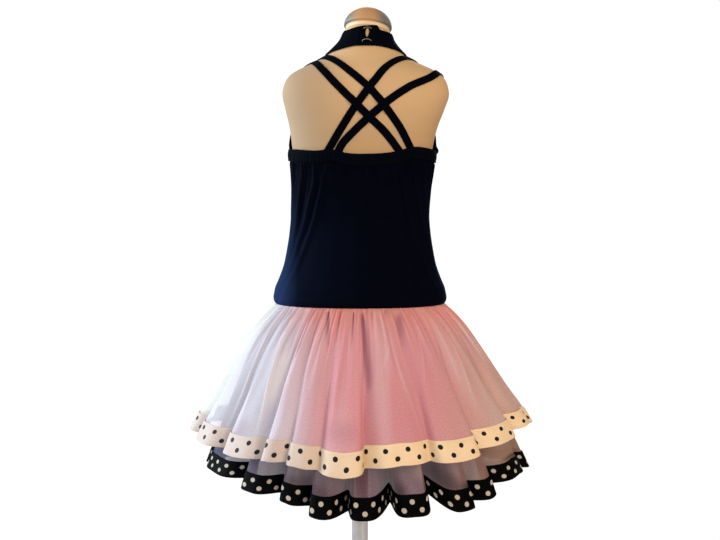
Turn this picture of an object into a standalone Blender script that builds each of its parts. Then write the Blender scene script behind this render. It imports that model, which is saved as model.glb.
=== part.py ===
"""Ballet tutu on a child's dress form: a black halter bodice with crossed back straps,
a skirt of two gathered tulle tiers with ribbon trims, and the form that it is worn on.

Metres, +Z up. The origin is the middle of the base plate's underside, on the floor.
The garment's front faces -Y and its back +Y, and +X is the wearer's left.
"""

import math
from collections import namedtuple

import bmesh
import bpy
import numpy as np
from mathutils import Vector
from mathutils.bvhtree import BVHTree

# ---------------------------------------------------------------- driving dimensions
SEAM = 0.0003            # gap kept between pieces that are sewn together or touch
CLOTH = 0.0014           # wall of the bodice's stretch jersey
TULLE = 0.0012           # wall of a tulle tier
RIBBON = 0.0012          # wall of a ribbon trim
TRIM_CLEAR = 0.0008      # from a tier to the ribbon sewn on it
STRAP_WIDTH = 0.0118
STRAP_THICK = 0.0015
STRAP_CLEAR = 0.0005     # from the form to the inside of a strap
BODICE_CLEAR = 0.0040    # from the form to the inside of the bodice: room for a strap's end

FORM_BOTTOM = 0.490
BOTTOM_INSET = 0.94      # the torso's underside, against its lowest section
NECK_TOP = 1.0045        # at the middle of its slanting top
NECK_TILT = math.radians(5)   # the neck's top and its cap slope down towards -X,
NECK_NOD = math.radians(14)   # and down towards the front
NECK_RADIUS = 0.0370      # about half way up the collar
CAP_FOOT_RADIUS = 0.0328
CAP_RADIUS = 0.0372
CAP_FOOT = 0.0035         # height of the cap's straight foot,
CAP_SHOULDER = 0.0080     # of its widest ring
CAP_HEIGHT = 0.0370       # and of its top
POLE_RADIUS = 0.0125
BASE_RADIUS = 0.150
BASE_THICK = 0.010
BASE_EDGE = 0.003
SOCKET_RADIUS = 0.022
SOCKET_HEIGHT = 0.035

# ---------------------------------------------------------------- tables
# The form's level sections, from the bottom up: half width, how far the back and the front
# lie from the section's middle, where that middle is (forward is -Y, and the whole form leans
# a little towards -X), and how square the section is (2 is an ellipse).
Section = namedtuple("Section", "height half_width back front middle lean squareness")
FORM = [
    Section(0.490, 0.1150, 0.0740, 0.0690, 0.000, 0.0000, 2.2),
    Section(0.500, 0.1200, 0.0790, 0.0730, 0.000, 0.0000, 2.2),
    Section(0.530, 0.1235, 0.0830, 0.0745, 0.000, 0.0000, 2.2),
    Section(0.560, 0.1245, 0.0850, 0.0750, 0.000, 0.0000, 2.2),
    Section(0.587, 0.1235, 0.0850, 0.0750, 0.000, 0.0000, 2.2),
    Section(0.605, 0.1205, 0.0830, 0.0745, 0.000, 0.0000, 2.2),
    Section(0.636, 0.1140, 0.0760, 0.0735, 0.000, 0.0000, 2.2),
    Section(0.667, 0.1080, 0.0680, 0.0720, 0.000, 0.0000, 2.2),
    Section(0.698, 0.1035, 0.0610, 0.0700, 0.000, 0.0000, 2.2),
    Section(0.721, 0.1018, 0.0580, 0.0690, 0.000, 0.0000, 2.2),
    Section(0.760, 0.1025, 0.0580, 0.0700, 0.000, -0.0015, 2.2),
    Section(0.807, 0.1060, 0.0620, 0.0730, 0.000, -0.0035, 2.3),
    Section(0.832, 0.1090, 0.0640, 0.0740, 0.000, -0.0040, 2.3),
    Section(0.858, 0.1140, 0.0660, 0.0720, 0.000, -0.0055, 2.4),
    Section(0.884, 0.1220, 0.0655, 0.0670, 0.000, -0.0075, 2.5),
    Section(0.908, 0.1280, 0.0630, 0.0600, -0.001, -0.0088, 2.5),
    Section(0.922, 0.1240, 0.0590, 0.0530, -0.002, -0.0088, 2.5),
    Section(0.934, 0.1130, 0.0555, 0.0465, -0.003, -0.0088, 2.4),
    Section(0.943, 0.0990, 0.0525, 0.0425, -0.005, -0.0088, 2.3),
    Section(0.951, 0.0810, 0.0480, 0.0400, -0.007, -0.0086, 2.2),
    Section(0.958, 0.0640, 0.0440, 0.0390, -0.009, -0.0085, 2.1),
    Section(0.965, 0.0525, 0.0415, 0.0385, -0.011, -0.0086, 2.0),
    Section(0.976, 0.0450, 0.0385, 0.0370, -0.013, -0.0092, 2.0),
    Section(0.990, 0.0375, 0.0355, 0.0350, -0.015, -0.0105, 2.0),
    Section(NECK_TOP, 0.0325, 0.0325, 0.0325, -0.016, -0.0115, 2.0),
]
FORM_COLUMNS = 34
FORM_RINGS = [0.490, 0.497, 0.515, 0.560, 0.610, 0.660, 0.720, 0.785, 0.832, 0.867, 0.893, 0.911,
              0.924, 0.935, 0.944, 0.952, 0.959, 0.967, 0.978, 0.991, NECK_TOP]

BODICE_HEM = 0.5865           # the seam that joins bodice and skirt

# The bodice below the armholes: how far its inside stands off the form at each height.
Ease = namedtuple("Ease", "height out")
BODICE_EASE = [
    Ease(BODICE_HEM, 0.0062),
    Ease(0.590, 0.0092),
    Ease(0.596, 0.0108),
    Ease(0.606, 0.0108),
    Ease(0.622, 0.0080),
    Ease(0.650, 0.0046),
    Ease(0.800, BODICE_CLEAR),
    Ease(0.952, BODICE_CLEAR),
    Ease(0.963, 0.0014),
    Ease(1.000, 0.0010),
]
BACK_TOP_SIDE = 0.808    # top of the gathered back panel at the side seams
BACK_TOP_DIP = 0.009     # how much lower it is at the centre back
BODICE_SEAM = 0.0003     # how far the panels stop short of the side seams, as a turn
BAND_WIDTH = 0.0165      # the binding that the back panel is gathered into
BAND_PROUD = 0.0008      # how much further out it stands
BAND_COLUMNS = 31
BACK_GATHERS = 16
BACK_GATHER_DEPTH = 0.0009
BACK_ROWS = [0.000, 0.018, 0.046, 0.092, 0.17, 0.32, 0.56, 0.80, 1.000]

# The front panel's edges above the side seams. Each row runs at its height at the sides and
# dips at the centre front; edge is the share of a quarter turn by which it stops short.
FrontRow = namedtuple("FrontRow", "height dip edge")
FRONT = [
    FrontRow(BODICE_HEM, 0.000, 0.00),
    FrontRow(0.590, 0.000, 0.00),
    FrontRow(0.596, 0.000, 0.00),
    FrontRow(0.606, 0.000, 0.00),
    FrontRow(0.622, 0.000, 0.00),
    FrontRow(0.660, 0.000, 0.00),
    FrontRow(0.715, 0.000, 0.00),
    FrontRow(0.775, 0.000, 0.00),
    FrontRow(0.8245, 0.000, 0.00),
    FrontRow(0.840, 0.001, 0.10),
    FrontRow(0.858, 0.002, 0.22),
    FrontRow(0.878, 0.003, 0.34),
    FrontRow(0.898, 0.005, 0.43),
    FrontRow(0.918, 0.007, 0.48),
    FrontRow(0.934, 0.009, 0.51),
    FrontRow(0.946, 0.011, 0.52),
    FrontRow(0.957, 0.0125, 0.46),
    FrontRow(0.975, 0.000, 0.40),
]
FRONT_COLUMNS = 24

# The collar's edges. turn runs from the closure at the centre back, past the wearer's right
# side, round the front and back past the left side.
CollarPoint = namedtuple("CollarPoint", "turn low high")
COLLAR = [
    CollarPoint(0.000, 0.9785, 1.0070),
    CollarPoint(0.050, 0.9785, 1.0075),
    CollarPoint(0.100, 0.9770, 0.9985),
    CollarPoint(0.160, 0.9735, 0.9955),
    CollarPoint(0.250, 0.9670, 0.9930),
    CollarPoint(0.370, 0.9590, 0.9890),
    CollarPoint(0.500, 0.9555, 0.9865),
    CollarPoint(0.630, 0.9590, 0.9900),
    CollarPoint(0.750, 0.9670, 0.9970),
    CollarPoint(0.860, 0.9740, 1.0040),
    CollarPoint(0.950, 0.9785, 1.0070),
    CollarPoint(1.000, 0.9785, 1.0070),
]
COLLAR_THICK = 0.0020
COLLAR_CLEAR = 0.0013         # from the neck to the collar at its foot,
COLLAR_STAND = 0.0028         # and at its top, clear of the cap
COLLAR_COLUMNS = 42
CLOSURE_END_GAP = 0.0012     # between the collar's ends at the top and bottom
CLOSURE_MID_GAP = 0.0048     # and half way up, where the ends bow apart
HOOK_WIRE = 0.0012
HOOK_WIDTH = 0.0125
HOOK_DEPTH = 0.0030
HOOK_HEIGHTS = (0.9835, 0.9995)

# Straps, as points on the form that each one passes over. A point on the back or front is
# found at its distance across (+ is the wearer's left) and height, one on the ridge of the
# shoulder at its distance across.
StrapPoint = namedtuple("StrapPoint", "face across height")
STRAPS = {
    "strap_a": [
        StrapPoint("back", 0.0522, 0.8120),
        StrapPoint("back", 0.0268, 0.8547),
        StrapPoint("back", 0.0065, 0.8862),
        StrapPoint("back", -0.0134, 0.9125),
        StrapPoint("back", -0.0398, 0.9420),
        StrapPoint("ridge", -0.0800, 0.0),
        StrapPoint("front", -0.0860, 0.9360),
        StrapPoint("front", -0.0790, 0.9100),
    ],
    "strap_b": [
        StrapPoint("back", 0.0350, 0.8120),
        StrapPoint("back", 0.0282, 0.8270),
        StrapPoint("back", 0.0089, 0.8487),
        StrapPoint("back", -0.0134, 0.8693),
        StrapPoint("back", -0.0356, 0.8886),
        StrapPoint("back", -0.0740, 0.9150),
        StrapPoint("back", -0.1040, 0.9290),
        StrapPoint("ridge", -0.1230, 0.0),
        StrapPoint("front", -0.1200, 0.9100),
        StrapPoint("front", -0.0960, 0.8800),
    ],
    "strap_c": [
        StrapPoint("back", -0.0640, 0.8120),
        StrapPoint("back", -0.0357, 0.8488),
        StrapPoint("back", -0.0156, 0.8679),
        StrapPoint("back", 0.0045, 0.8878),
        StrapPoint("back", 0.0358, 0.9190),
        StrapPoint("back", 0.0620, 0.9380),
        StrapPoint("ridge", 0.0870, 0.0),
        StrapPoint("front", 0.0930, 0.9180),
        StrapPoint("front", 0.0780, 0.8880),
    ],
    "strap_d": [
        StrapPoint("back", -0.0815, 0.8120),
        StrapPoint("back", -0.0581, 0.8563),
        StrapPoint("back", -0.0378, 0.8842),
        StrapPoint("back", -0.0134, 0.9135),
        StrapPoint("back", 0.0170, 0.9400),
        StrapPoint("ridge", 0.0600, 0.0),
        StrapPoint("front", 0.0670, 0.9360),
        StrapPoint("front", 0.0610, 0.9100),
    ],
}
CROSSINGS = [                 # the strap on top comes first, so that the four interlace
    ("strap_a", "strap_d"),
    ("strap_c", "strap_a"),
    ("strap_d", "strap_b"),
    ("strap_b", "strap_c"),
]
STRAP_RINGS = 28
CROSS_FLAT = 0.0085           # half the length over which the upper strap stays raised
CROSS_RAMP = 0.0120
CROSS_CLEAR = 0.00075
RIDGE_Y = -0.006              # where the ridge of the shoulders runs

# The tiers' profiles over the crests of their folds, from the seam down. share is the part of
# the tier's length, and lean how far the whole ring is swung towards +X.
Profile = namedtuple("Profile", "share height half_width back front lean")
UPPER_TIER = [
    Profile(0.00, 0.5862, 0.1302, 0.0917, 0.0817, 0.000),
    Profile(0.06, 0.5790, 0.1375, 0.0988, 0.0888, 0.000),
    Profile(0.20, 0.5530, 0.1620, 0.1220, 0.1120, 0.000),
    Profile(0.42, 0.5030, 0.1980, 0.1570, 0.1460, 0.000),
    Profile(0.66, 0.4520, 0.2270, 0.1850, 0.1740, -0.001),
    Profile(0.87, 0.4110, 0.2510, 0.2110, 0.1980, -0.002),
    Profile(1.00, 0.3830, 0.2650, 0.2260, 0.2125, -0.002),
]
LOWER_TIER = [
    Profile(0.00, 0.5862, 0.1268, 0.0883, 0.0783, 0.000),
    Profile(0.05, 0.5775, 0.1310, 0.0920, 0.0820, 0.000),
    Profile(0.18, 0.5440, 0.1530, 0.1140, 0.1040, 0.000),
    Profile(0.42, 0.4820, 0.1850, 0.1470, 0.1350, -0.002),
    Profile(0.66, 0.4140, 0.2150, 0.1750, 0.1610, -0.005),
    Profile(0.90, 0.3477, 0.2411, 0.2032, 0.1870, -0.008),
    Profile(1.00, 0.3210, 0.2515, 0.2140, 0.1970, -0.009),
]
HEM_DROOP = 0.009             # the hems hang this much lower at the centre back and front
FOLD_FULLNESS = 1.4           # makes the folds broader than the valleys between them

# Folds at the hem, round from the side seam. angle is the width of the fold in degrees, depth
# how far the valley after it lies in, crest how far the fold itself stands out, drop how much
# lower its hem hangs, shift how many degrees the valley after it is pushed along, so that it
# hides behind a fold, and rise how far the hem is drawn up in that valley.
Fold = namedtuple("Fold", "angle depth crest drop shift rise")
UPPER_BACK_FOLDS = [
    Fold(14.2, 0.020, 0.000, -0.012, 0.0, 0.000),
    Fold(18.9, 0.020, 0.000, -0.006, 2.0, 0.000),
    Fold(20.7, 0.028, -0.002, -0.001, 2.5, 0.000),
    Fold(8.0, 0.018, 0.004, -0.006, 1.5, 0.000),
    Fold(13.0, 0.009, 0.000, -0.002, 0.0, 0.000),
    Fold(18.8, 0.022, 0.005, 0.009, -2.5, 0.000),
    Fold(19.2, 0.030, -0.003, -0.006, 2.5, 0.000),
    Fold(23.3, 0.016, 0.003, -0.004, -2.0, 0.000),
    Fold(19.4, 0.020, 0.000, -0.017, -2.0, 0.000),
    Fold(13.7, 0.020, 0.000, -0.028, 0.0, 0.000),
    Fold(10.8, 0.020, 0.000, -0.020, 0.0, 0.000),
]
UPPER_FRONT_FOLDS = [
    Fold(18.0, 0.021, 0.001, -0.006, 1.0, 0.000),
    Fold(21.0, 0.025, -0.001, 0.002, 2.0, 0.000),
    Fold(17.0, 0.020, 0.002, 0.004, 2.0, 0.000),
    Fold(11.0, 0.028, -0.002, 0.001, 1.5, 0.000),
    Fold(24.5, 0.018, 0.003, 0.005, -2.0, 0.000),
    Fold(15.5, 0.027, 0.000, -0.004, 2.5, 0.000),
    Fold(18.5, 0.020, 0.002, 0.003, -1.5, 0.000),
    Fold(20.0, 0.024, -0.002, 0.000, -2.5, 0.000),
    Fold(16.5, 0.021, 0.001, -0.003, -1.5, 0.000),
    Fold(18.0, 0.020, 0.000, -0.004, 0.0, 0.000),
]
LOWER_BACK_FOLDS = [
    Fold(7.2, 0.026, -0.004, -0.018, 0.0, 0.000),
    Fold(30.1, 0.034, 0.000, -0.022, 2.0, 0.004),
    Fold(16.6, 0.034, 0.002, -0.013, 0.5, 0.002),
    Fold(12.3, 0.034, -0.008, -0.004, 1.5, 0.000),
    Fold(15.1, 0.034, 0.004, 0.010, 1.0, 0.002),
    Fold(15.6, 0.050, 0.002, 0.010, 4.0, 0.010),
    Fold(20.0, 0.058, 0.002, 0.007, -1.0, 0.022),
    Fold(17.8, 0.026, 0.003, 0.009, -1.5, 0.000),
    Fold(10.9, 0.032, -0.003, 0.002, -2.0, 0.002),
    Fold(22.7, 0.030, 0.000, -0.018, -1.0, 0.002),
    Fold(11.7, 0.028, 0.002, -0.012, 0.0, 0.000),
]
LOWER_FRONT_FOLDS = [
    Fold(19.0, 0.034, 0.000, -0.006, 1.0, 0.002),
    Fold(15.0, 0.036, 0.002, 0.000, 2.0, 0.004),
    Fold(19.5, 0.034, -0.003, 0.004, 1.0, 0.000),
    Fold(11.5, 0.042, 0.002, 0.001, 2.5, 0.008),
    Fold(21.0, 0.046, 0.003, 0.005, -2.0, 0.012),
    Fold(14.0, 0.036, -0.004, 0.000, 1.5, 0.002),
    Fold(16.0, 0.044, 0.002, 0.004, -1.0, 0.010),
    Fold(20.5, 0.034, 0.000, 0.002, -1.5, 0.002),
    Fold(12.5, 0.036, -0.003, -0.004, -2.0, 0.002),
    Fold(17.0, 0.032, 0.002, -0.008, -1.0, 0.002),
    Fold(14.0, 0.028, 0.000, -0.012, 0.0, 0.000),
]
FOLD_PHASES = [-150, -95, -35, 35, 95, 150]   # columns of a fold, 0 being its crest
VALLEY_GAP = 0.0064           # width left in the hem's valleys, for the ribbon on both sides
GATHERS_PER_FOLD = 3
TIER_SEAM = 0.0005            # how far a panel stops short of the side seam, as a turn
SEAM_GATHER = 0.0008          # gathers at the seam, either side of the middle
FULL_GATHER = 0.0017          # and a little below it

BLACK = ("jersey_black", (0.006, 0.008, 0.016), 0.75, 0.0)
PINK = ("tulle_pink", (0.80, 0.42, 0.45), 0.85, 0.0)
WHITE = ("ribbon_white", (0.86, 0.80, 0.70), 0.55, 0.0)
DARK = ("ribbon_black", (0.008, 0.008, 0.010), 0.50, 0.0)
CREAM = ("form_cream", (0.78, 0.60, 0.42), 0.80, 0.0)
GREY = ("cap_grey", (0.40, 0.36, 0.32), 0.45, 0.0)
STEEL = ("steel", (0.62, 0.62, 0.64), 0.35, 1.0)


# ---------------------------------------------------------------- curves and sections
def eased(x):
    """Smooth step from 0 to 1."""
    x = np.clip(x, 0.0, 1.0)
    return x * x * (3 - 2 * x)


def through(xs, ys, x):
    """A smooth curve through (xs, ys) that never overshoots them (monotone cubic)."""
    xs, ys, x = np.asarray(xs, float), np.asarray(ys, float), np.asarray(x, float)
    step, rise = np.diff(xs), np.diff(ys)
    slope = rise / step
    tangent = np.zeros(len(xs))
    tangent[0], tangent[-1] = slope[0], slope[-1]
    for i in range(1, len(xs) - 1):
        if slope[i - 1] * slope[i] > 0:
            a, b = 2 * step[i] + step[i - 1], step[i] + 2 * step[i - 1]
            tangent[i] = (a + b) / (a / slope[i - 1] + b / slope[i])
    x = np.clip(x, xs[0], xs[-1])
    i = np.clip(np.searchsorted(xs, x, side="right") - 1, 0, len(xs) - 2)
    t = (x - xs[i]) / step[i]
    return (
        (1 + 2 * t) * (1 - t) ** 2 * ys[i]
        + t * (1 - t) ** 2 * step[i] * tangent[i]
        + t * t * (3 - 2 * t) * ys[i + 1]
        + t * t * (t - 1) * step[i] * tangent[i + 1]
    )


def read(table, key, name, at):
    """A named column of a table, read at a value of its key column."""
    return through([getattr(row, key) for row in table], [getattr(row, name) for row in table], at)


def round_section(turn, half_width, back, front, middle, lean, squareness):
    """x and y on a level section. turn 0 is the +X side, 0.25 the back, 0.5 the -X side and
    0.75 the front, and each quarter is shared out by length."""
    turn, half_width, back, front, middle, lean, squareness = np.broadcast_arrays(
        turn, half_width, back, front, middle, lean, squareness
    )
    turn = np.mod(turn, 1.0) * 4
    quarter = np.minimum(np.floor(turn).astype(int), 3)
    share = turn - quarter
    share = np.where(quarter % 2 == 1, 1 - share, share)
    depth = np.where(quarter < 2, back, front)
    angle = np.linspace(0, math.pi / 2, 65)
    power = (2 / squareness)[..., None]
    x = half_width[..., None] * np.cos(angle) ** power
    y = depth[..., None] * np.sin(angle) ** power
    x[..., -1] = 0.0
    length = np.cumsum(np.hypot(np.diff(x, axis=-1), np.diff(y, axis=-1)), axis=-1)
    length = np.concatenate([np.zeros_like(length[..., :1]), length], axis=-1)
    target = share * length[..., -1]
    i = np.clip((length < target[..., None]).sum(-1) - 1, 0, len(angle) - 2)[..., None]
    low, high = np.take_along_axis(length, i, -1), np.take_along_axis(length, i + 1, -1)
    t = (target[..., None] - low) / np.maximum(high - low, 1e-12)
    x_at = (np.take_along_axis(x, i, -1) * (1 - t) + np.take_along_axis(x, i + 1, -1) * t)[..., 0]
    y_at = (np.take_along_axis(y, i, -1) * (1 - t) + np.take_along_axis(y, i + 1, -1) * t)[..., 0]
    side = np.where((quarter == 0) | (quarter == 3), 1.0, -1.0)
    way = np.where(quarter < 2, 1.0, -1.0)
    return lean + side * x_at, middle + way * y_at


def form_surface(turn, height):
    """Points on the dress form."""
    turn, height = np.broadcast_arrays(np.asarray(turn, float), np.asarray(height, float))
    values = [read(FORM, "height", name, height) for name in Section._fields[1:]]
    x, y = round_section(turn, *values)
    return np.stack([x, y, height], axis=-1)


def off_form(turn, height, out):
    """Points at a distance off the dress form, along its normal."""
    small = 0.0015
    along = form_surface(turn + small, height) - form_surface(turn - small, height)
    up = form_surface(turn, height + small) - form_surface(turn, height - small)
    normal = np.cross(along, up)
    normal /= np.linalg.norm(normal, axis=-1, keepdims=True)
    return form_surface(turn, height) + normal * np.asarray(out)[..., None]


# ---------------------------------------------------------------- meshes and solids
def material(spec):
    name, colour, roughness, metallic = spec
    made = bpy.data.materials.get(name) or bpy.data.materials.new(name)
    made.use_nodes = True
    shader = made.node_tree.nodes["Principled BSDF"]
    shader.inputs["Base Color"].default_value = (*colour, 1.0)
    shader.inputs["Roughness"].default_value = roughness
    shader.inputs["Metallic"].default_value = metallic
    made.diffuse_color = (*colour, 1.0)
    return made


def make_object(name, points, faces, spec):
    mesh = bpy.data.meshes.new(name)
    mesh.from_pydata([tuple(p) for p in points], [], faces)
    work = bmesh.new()
    work.from_mesh(mesh)
    bmesh.ops.recalc_face_normals(work, faces=work.faces)
    work.to_mesh(mesh)
    work.free()
    mesh.shade_smooth()
    mesh.set_sharp_from_angle(angle=math.radians(40))
    mesh.materials.append(material(spec))
    made = bpy.data.objects.new(name, mesh)
    bpy.context.scene.collection.objects.link(made)
    return made


def split_quad(a, b, c, d):
    return [(a, b, c), (a, c, d)]


def wall(name, inner, outer, spec, closed=False):
    """A solid sheet between two grids of points [row][column], closed into a tube or not."""
    rows, columns = inner.shape[:2]
    points = np.concatenate([inner.reshape(-1, 3), outer.reshape(-1, 3)])
    shift = rows * columns

    def at(row, column):
        return row * columns + column % columns

    faces = []
    for row in range(rows - 1):
        for column in range(columns if closed else columns - 1):
            a, b = at(row, column), at(row, column + 1)
            c, d = at(row + 1, column + 1), at(row + 1, column)
            faces += split_quad(a + shift, b + shift, c + shift, d + shift)
            faces += [face[::-1] for face in split_quad(a, b, c, d)]
    for column in range(columns if closed else columns - 1):
        for row, turned in ((0, False), (rows - 1, True)):
            a, b = at(row, column), at(row, column + 1)
            rim = split_quad(a, b, b + shift, a + shift)
            faces += [face[::-1] for face in rim] if turned else rim
    if not closed:
        for row in range(rows - 1):
            for column, turned in ((0, True), (columns - 1, False)):
                a, b = at(row, column), at(row + 1, column)
                rim = split_quad(a, b, b + shift, a + shift)
                faces += [face[::-1] for face in rim] if turned else rim
    return make_object(name, points, faces, spec)


def turned_solid(name, profile, segments, spec):
    """A solid of revolution about Z, from (radius, height) points that start and end on it."""
    points, faces = [], []
    rings = profile[1:-1]
    for radius, height in rings:
        for k in range(segments):
            angle = 2 * math.pi * k / segments
            points.append((radius * math.cos(angle), radius * math.sin(angle), height))
    low, high = len(points), len(points) + 1
    points += [(0.0, 0.0, profile[0][1]), (0.0, 0.0, profile[-1][1])]
    for k in range(segments):
        after = (k + 1) % segments
        for ring in range(len(rings) - 1):
            a, b = ring * segments + k, ring * segments + after
            faces += split_quad(a, b, b + segments, a + segments)
        faces.append((low, after, k))
        last = (len(rings) - 1) * segments
        faces.append((high, last + k, last + after))
    return make_object(name, points, faces, spec)


def tube(name, path, radius, sides, spec):
    """A round wire along an open path."""
    path = [Vector(p) for p in path]
    points, faces = [], []
    normal = None
    for i, here in enumerate(path):
        ahead = (path[min(i + 1, len(path) - 1)] - path[max(i - 1, 0)]).normalized()
        if normal is None:
            normal = ahead.orthogonal()
        normal = (normal - ahead * normal.dot(ahead)).normalized()
        across = ahead.cross(normal)
        for k in range(sides):
            angle = 2 * math.pi * k / sides
            points.append(here + radius * (math.cos(angle) * normal + math.sin(angle) * across))
    for i in range(len(path) - 1):
        for k in range(sides):
            a, b = i * sides + k, i * sides + (k + 1) % sides
            faces += split_quad(a, b, b + sides, a + sides)
    for first, end in ((0, path[0]), ((len(path) - 1) * sides, path[-1])):
        points.append(end)
        for k in range(sides):
            faces.append((first + k, first + (k + 1) % sides, len(points) - 1))
    return make_object(name, points, faces, spec)


# ---------------------------------------------------------------- the dress form
def form_torso():
    """The form's padded torso with its neck, limbless and closed at both ends."""
    columns = FORM_COLUMNS
    turns = np.arange(columns) / columns
    heights = FORM_RINGS
    rings = np.array([form_surface(turns, height) for height in heights])
    rings[0] *= (BOTTOM_INSET, BOTTOM_INSET, 1.0)
    away = rings[-1] - rings[-1].mean(axis=0)
    rings[-1][:, 2] += away[:, 0] * math.tan(NECK_TILT) + away[:, 1] * math.tan(NECK_NOD)
    points = list(rings.reshape(-1, 3))
    faces = []
    for row in range(len(heights) - 1):
        for k in range(columns):
            a, b = row * columns + k, row * columns + (k + 1) % columns
            faces += split_quad(a, b, b + columns, a + columns)
    for ring, first in ((rings[0], 0), (rings[-1], (len(heights) - 1) * columns)):
        points.append(ring.mean(axis=0))
        faces += [(first + k, first + (k + 1) % columns, len(points) - 1) for k in range(columns)]
    return make_object("form_torso", points, faces, CREAM)


def neck_cap():
    """The domed cap on the form's slanting neck."""
    rings = 6
    profile = [(0.0, 0.0), (CAP_FOOT_RADIUS, 0.0), (CAP_FOOT_RADIUS, CAP_FOOT)]
    for angle in np.radians(90 * np.arange(rings) / rings):
        profile.append((
            CAP_RADIUS * math.cos(angle),
            CAP_SHOULDER + (CAP_HEIGHT - CAP_SHOULDER) * math.sin(angle),
        ))
    profile.append((0.0, CAP_HEIGHT))
    cap = turned_solid("neck_cap", profile, 28, GREY)
    lean, middle = [read(FORM, "height", name, NECK_TOP).item() for name in ("lean", "middle")]
    cap.location = (lean, middle, NECK_TOP + SEAM)
    cap.rotation_euler = (NECK_NOD, -NECK_TILT, 0.0)


def stand():
    """The round base plate with its socket, and the pole that the torso stands on."""
    top = BASE_RADIUS - BASE_EDGE
    base = [
        (0.0, 0.0), (top, 0.0), (BASE_RADIUS, BASE_EDGE), (BASE_RADIUS, BASE_THICK - BASE_EDGE),
        (top, BASE_THICK), (SOCKET_RADIUS, BASE_THICK), (SOCKET_RADIUS, SOCKET_HEIGHT),
        (0.0, SOCKET_HEIGHT),
    ]
    turned_solid("base_plate", base, 36, STEEL)
    low, high = SOCKET_HEIGHT + SEAM, FORM_BOTTOM - SEAM
    turned_solid("pole", [(0.0, low), (POLE_RADIUS, low), (POLE_RADIUS, high), (0.0, high)], 20, STEEL)


# ---------------------------------------------------------------- the bodice
def back_top(turn):
    """Height of the back panel's top edge."""
    return BACK_TOP_SIDE - BACK_TOP_DIP * np.sin(2 * math.pi * turn) ** 2


def bodice_back():
    """The back panel, from side seam to side seam, gathered into the band at its top."""
    columns = 2 * BACK_GATHERS + 1
    turns = np.linspace(BODICE_SEAM, 0.5 - BODICE_SEAM, columns)
    zigzag = np.where(np.arange(columns) % 2 == 0, -1.0, 1.0)
    inner, outer = [], []
    for share in BACK_ROWS:
        height = BODICE_HEM + (back_top(turns) - BODICE_HEM) * share
        out = read(BODICE_EASE, "height", "out", height)
        gather = BACK_GATHER_DEPTH * eased((share - 0.45) / 0.4) * (1 + zigzag) / 2
        inner.append(off_form(turns, height, out + gather))
        outer.append(off_form(turns, height, out + gather + CLOTH))
    return wall("bodice_back", np.array(inner), np.array(outer), BLACK)


def back_band():
    """The binding along the top of the back panel."""
    turns = np.linspace(BODICE_SEAM, 0.5 - BODICE_SEAM, BAND_COLUMNS)
    inner, outer = [], []
    for rise in (SEAM, BAND_WIDTH):
        height = back_top(turns) + rise
        inner.append(off_form(turns, height, np.full(BAND_COLUMNS, BODICE_CLEAR - SEAM)))
        outer.append(off_form(turns, height, np.full(BAND_COLUMNS, BODICE_CLEAR + CLOTH + BAND_PROUD)))
    return wall("back_band", np.array(inner), np.array(outer), BLACK)


def bodice_front():
    """The halter front: from side seam to side seam below, cut away at the armholes above."""
    inner, outer = [], []
    for row in FRONT:
        start = 0.5 + max(BODICE_SEAM, 0.25 * row.edge)
        turns = np.linspace(start, 1.5 - start, FRONT_COLUMNS + 1)
        height = row.height - row.dip * np.sin(2 * math.pi * (turns - 0.5)) ** 2
        height = np.minimum(height, read(COLLAR, "turn", "low", turns - 0.25) - 2 * SEAM)
        out = read(BODICE_EASE, "height", "out", height)
        inner.append(off_form(turns, height, out))
        outer.append(off_form(turns, height, out + CLOTH))
    return wall("bodice_front", np.array(inner), np.array(outer), BLACK)


def collar_clear(level):
    """How far the collar stands off the neck, from its foot (0) to its top (1)."""
    return COLLAR_CLEAR + (COLLAR_STAND - COLLAR_CLEAR) * level


def collar():
    """The halter's neck band, open at the centre back where its ends hook together."""
    levels = (0.0, 0.5, 1.0)
    gaps = (CLOSURE_END_GAP, CLOSURE_MID_GAP, CLOSURE_END_GAP)
    around = 2 * math.pi * NECK_RADIUS
    inner, outer = [], []
    for level, gap in zip(levels, gaps):
        way = np.linspace(gap / 2 / around, 1 - gap / 2 / around, COLLAR_COLUMNS + 1)
        low, high = read(COLLAR, "turn", "low", way), read(COLLAR, "turn", "high", way)
        height = low + (high - low) * level
        turns = 0.25 + way
        clear = np.full(len(way), collar_clear(level))
        inner.append(off_form(turns, height, clear))
        outer.append(off_form(turns, height, clear + COLLAR_THICK))
    return wall("collar", np.array(inner), np.array(outer), BLACK)


def collar_hooks():
    """Two wire staples that hook the collar's ends together."""
    nape = COLLAR[0]
    for name, height in zip(("collar_hook_lower", "collar_hook_upper"), HOOK_HEIGHTS):
        level = (height - nape.low) / (nape.high - nape.low)
        out = collar_clear(level) + COLLAR_THICK + 2 * SEAM + HOOK_WIRE / 2
        half = HOOK_WIDTH / 2
        path = []
        for across, lift in ((-1.0, -HOOK_DEPTH), (-1.0, 0.0), (-0.4, 0.0010), (0.4, 0.0010), (1.0, 0.0),
                             (1.0, -HOOK_DEPTH)):
            turn = 0.25 - across * half / (2 * math.pi * NECK_RADIUS)
            path.append(tuple(off_form(np.array(turn), np.array(height + lift), np.array(out))))
        tube(name, path, HOOK_WIRE / 2, 6, STEEL)


# ---------------------------------------------------------------- the straps
def tree_of(made):
    """An object's surface, to lay the straps on."""
    mesh = made.data
    return BVHTree.FromPolygons([v.co for v in mesh.vertices], [tuple(f.vertices) for f in mesh.polygons])


def strap_guide(tree, point):
    """The place on the form that a row of the strap tables names."""
    far = 0.4
    if point.face == "ridge":
        start, way = Vector((point.across, RIDGE_Y, 1.0 + far)), Vector((0, 0, -1))
    elif point.face == "back":
        start, way = Vector((point.across, far, point.height)), Vector((0, -1, 0))
    else:
        start, way = Vector((point.across, -far, point.height)), Vector((0, 1, 0))
    return tree.ray_cast(start, way)[0]


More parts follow.
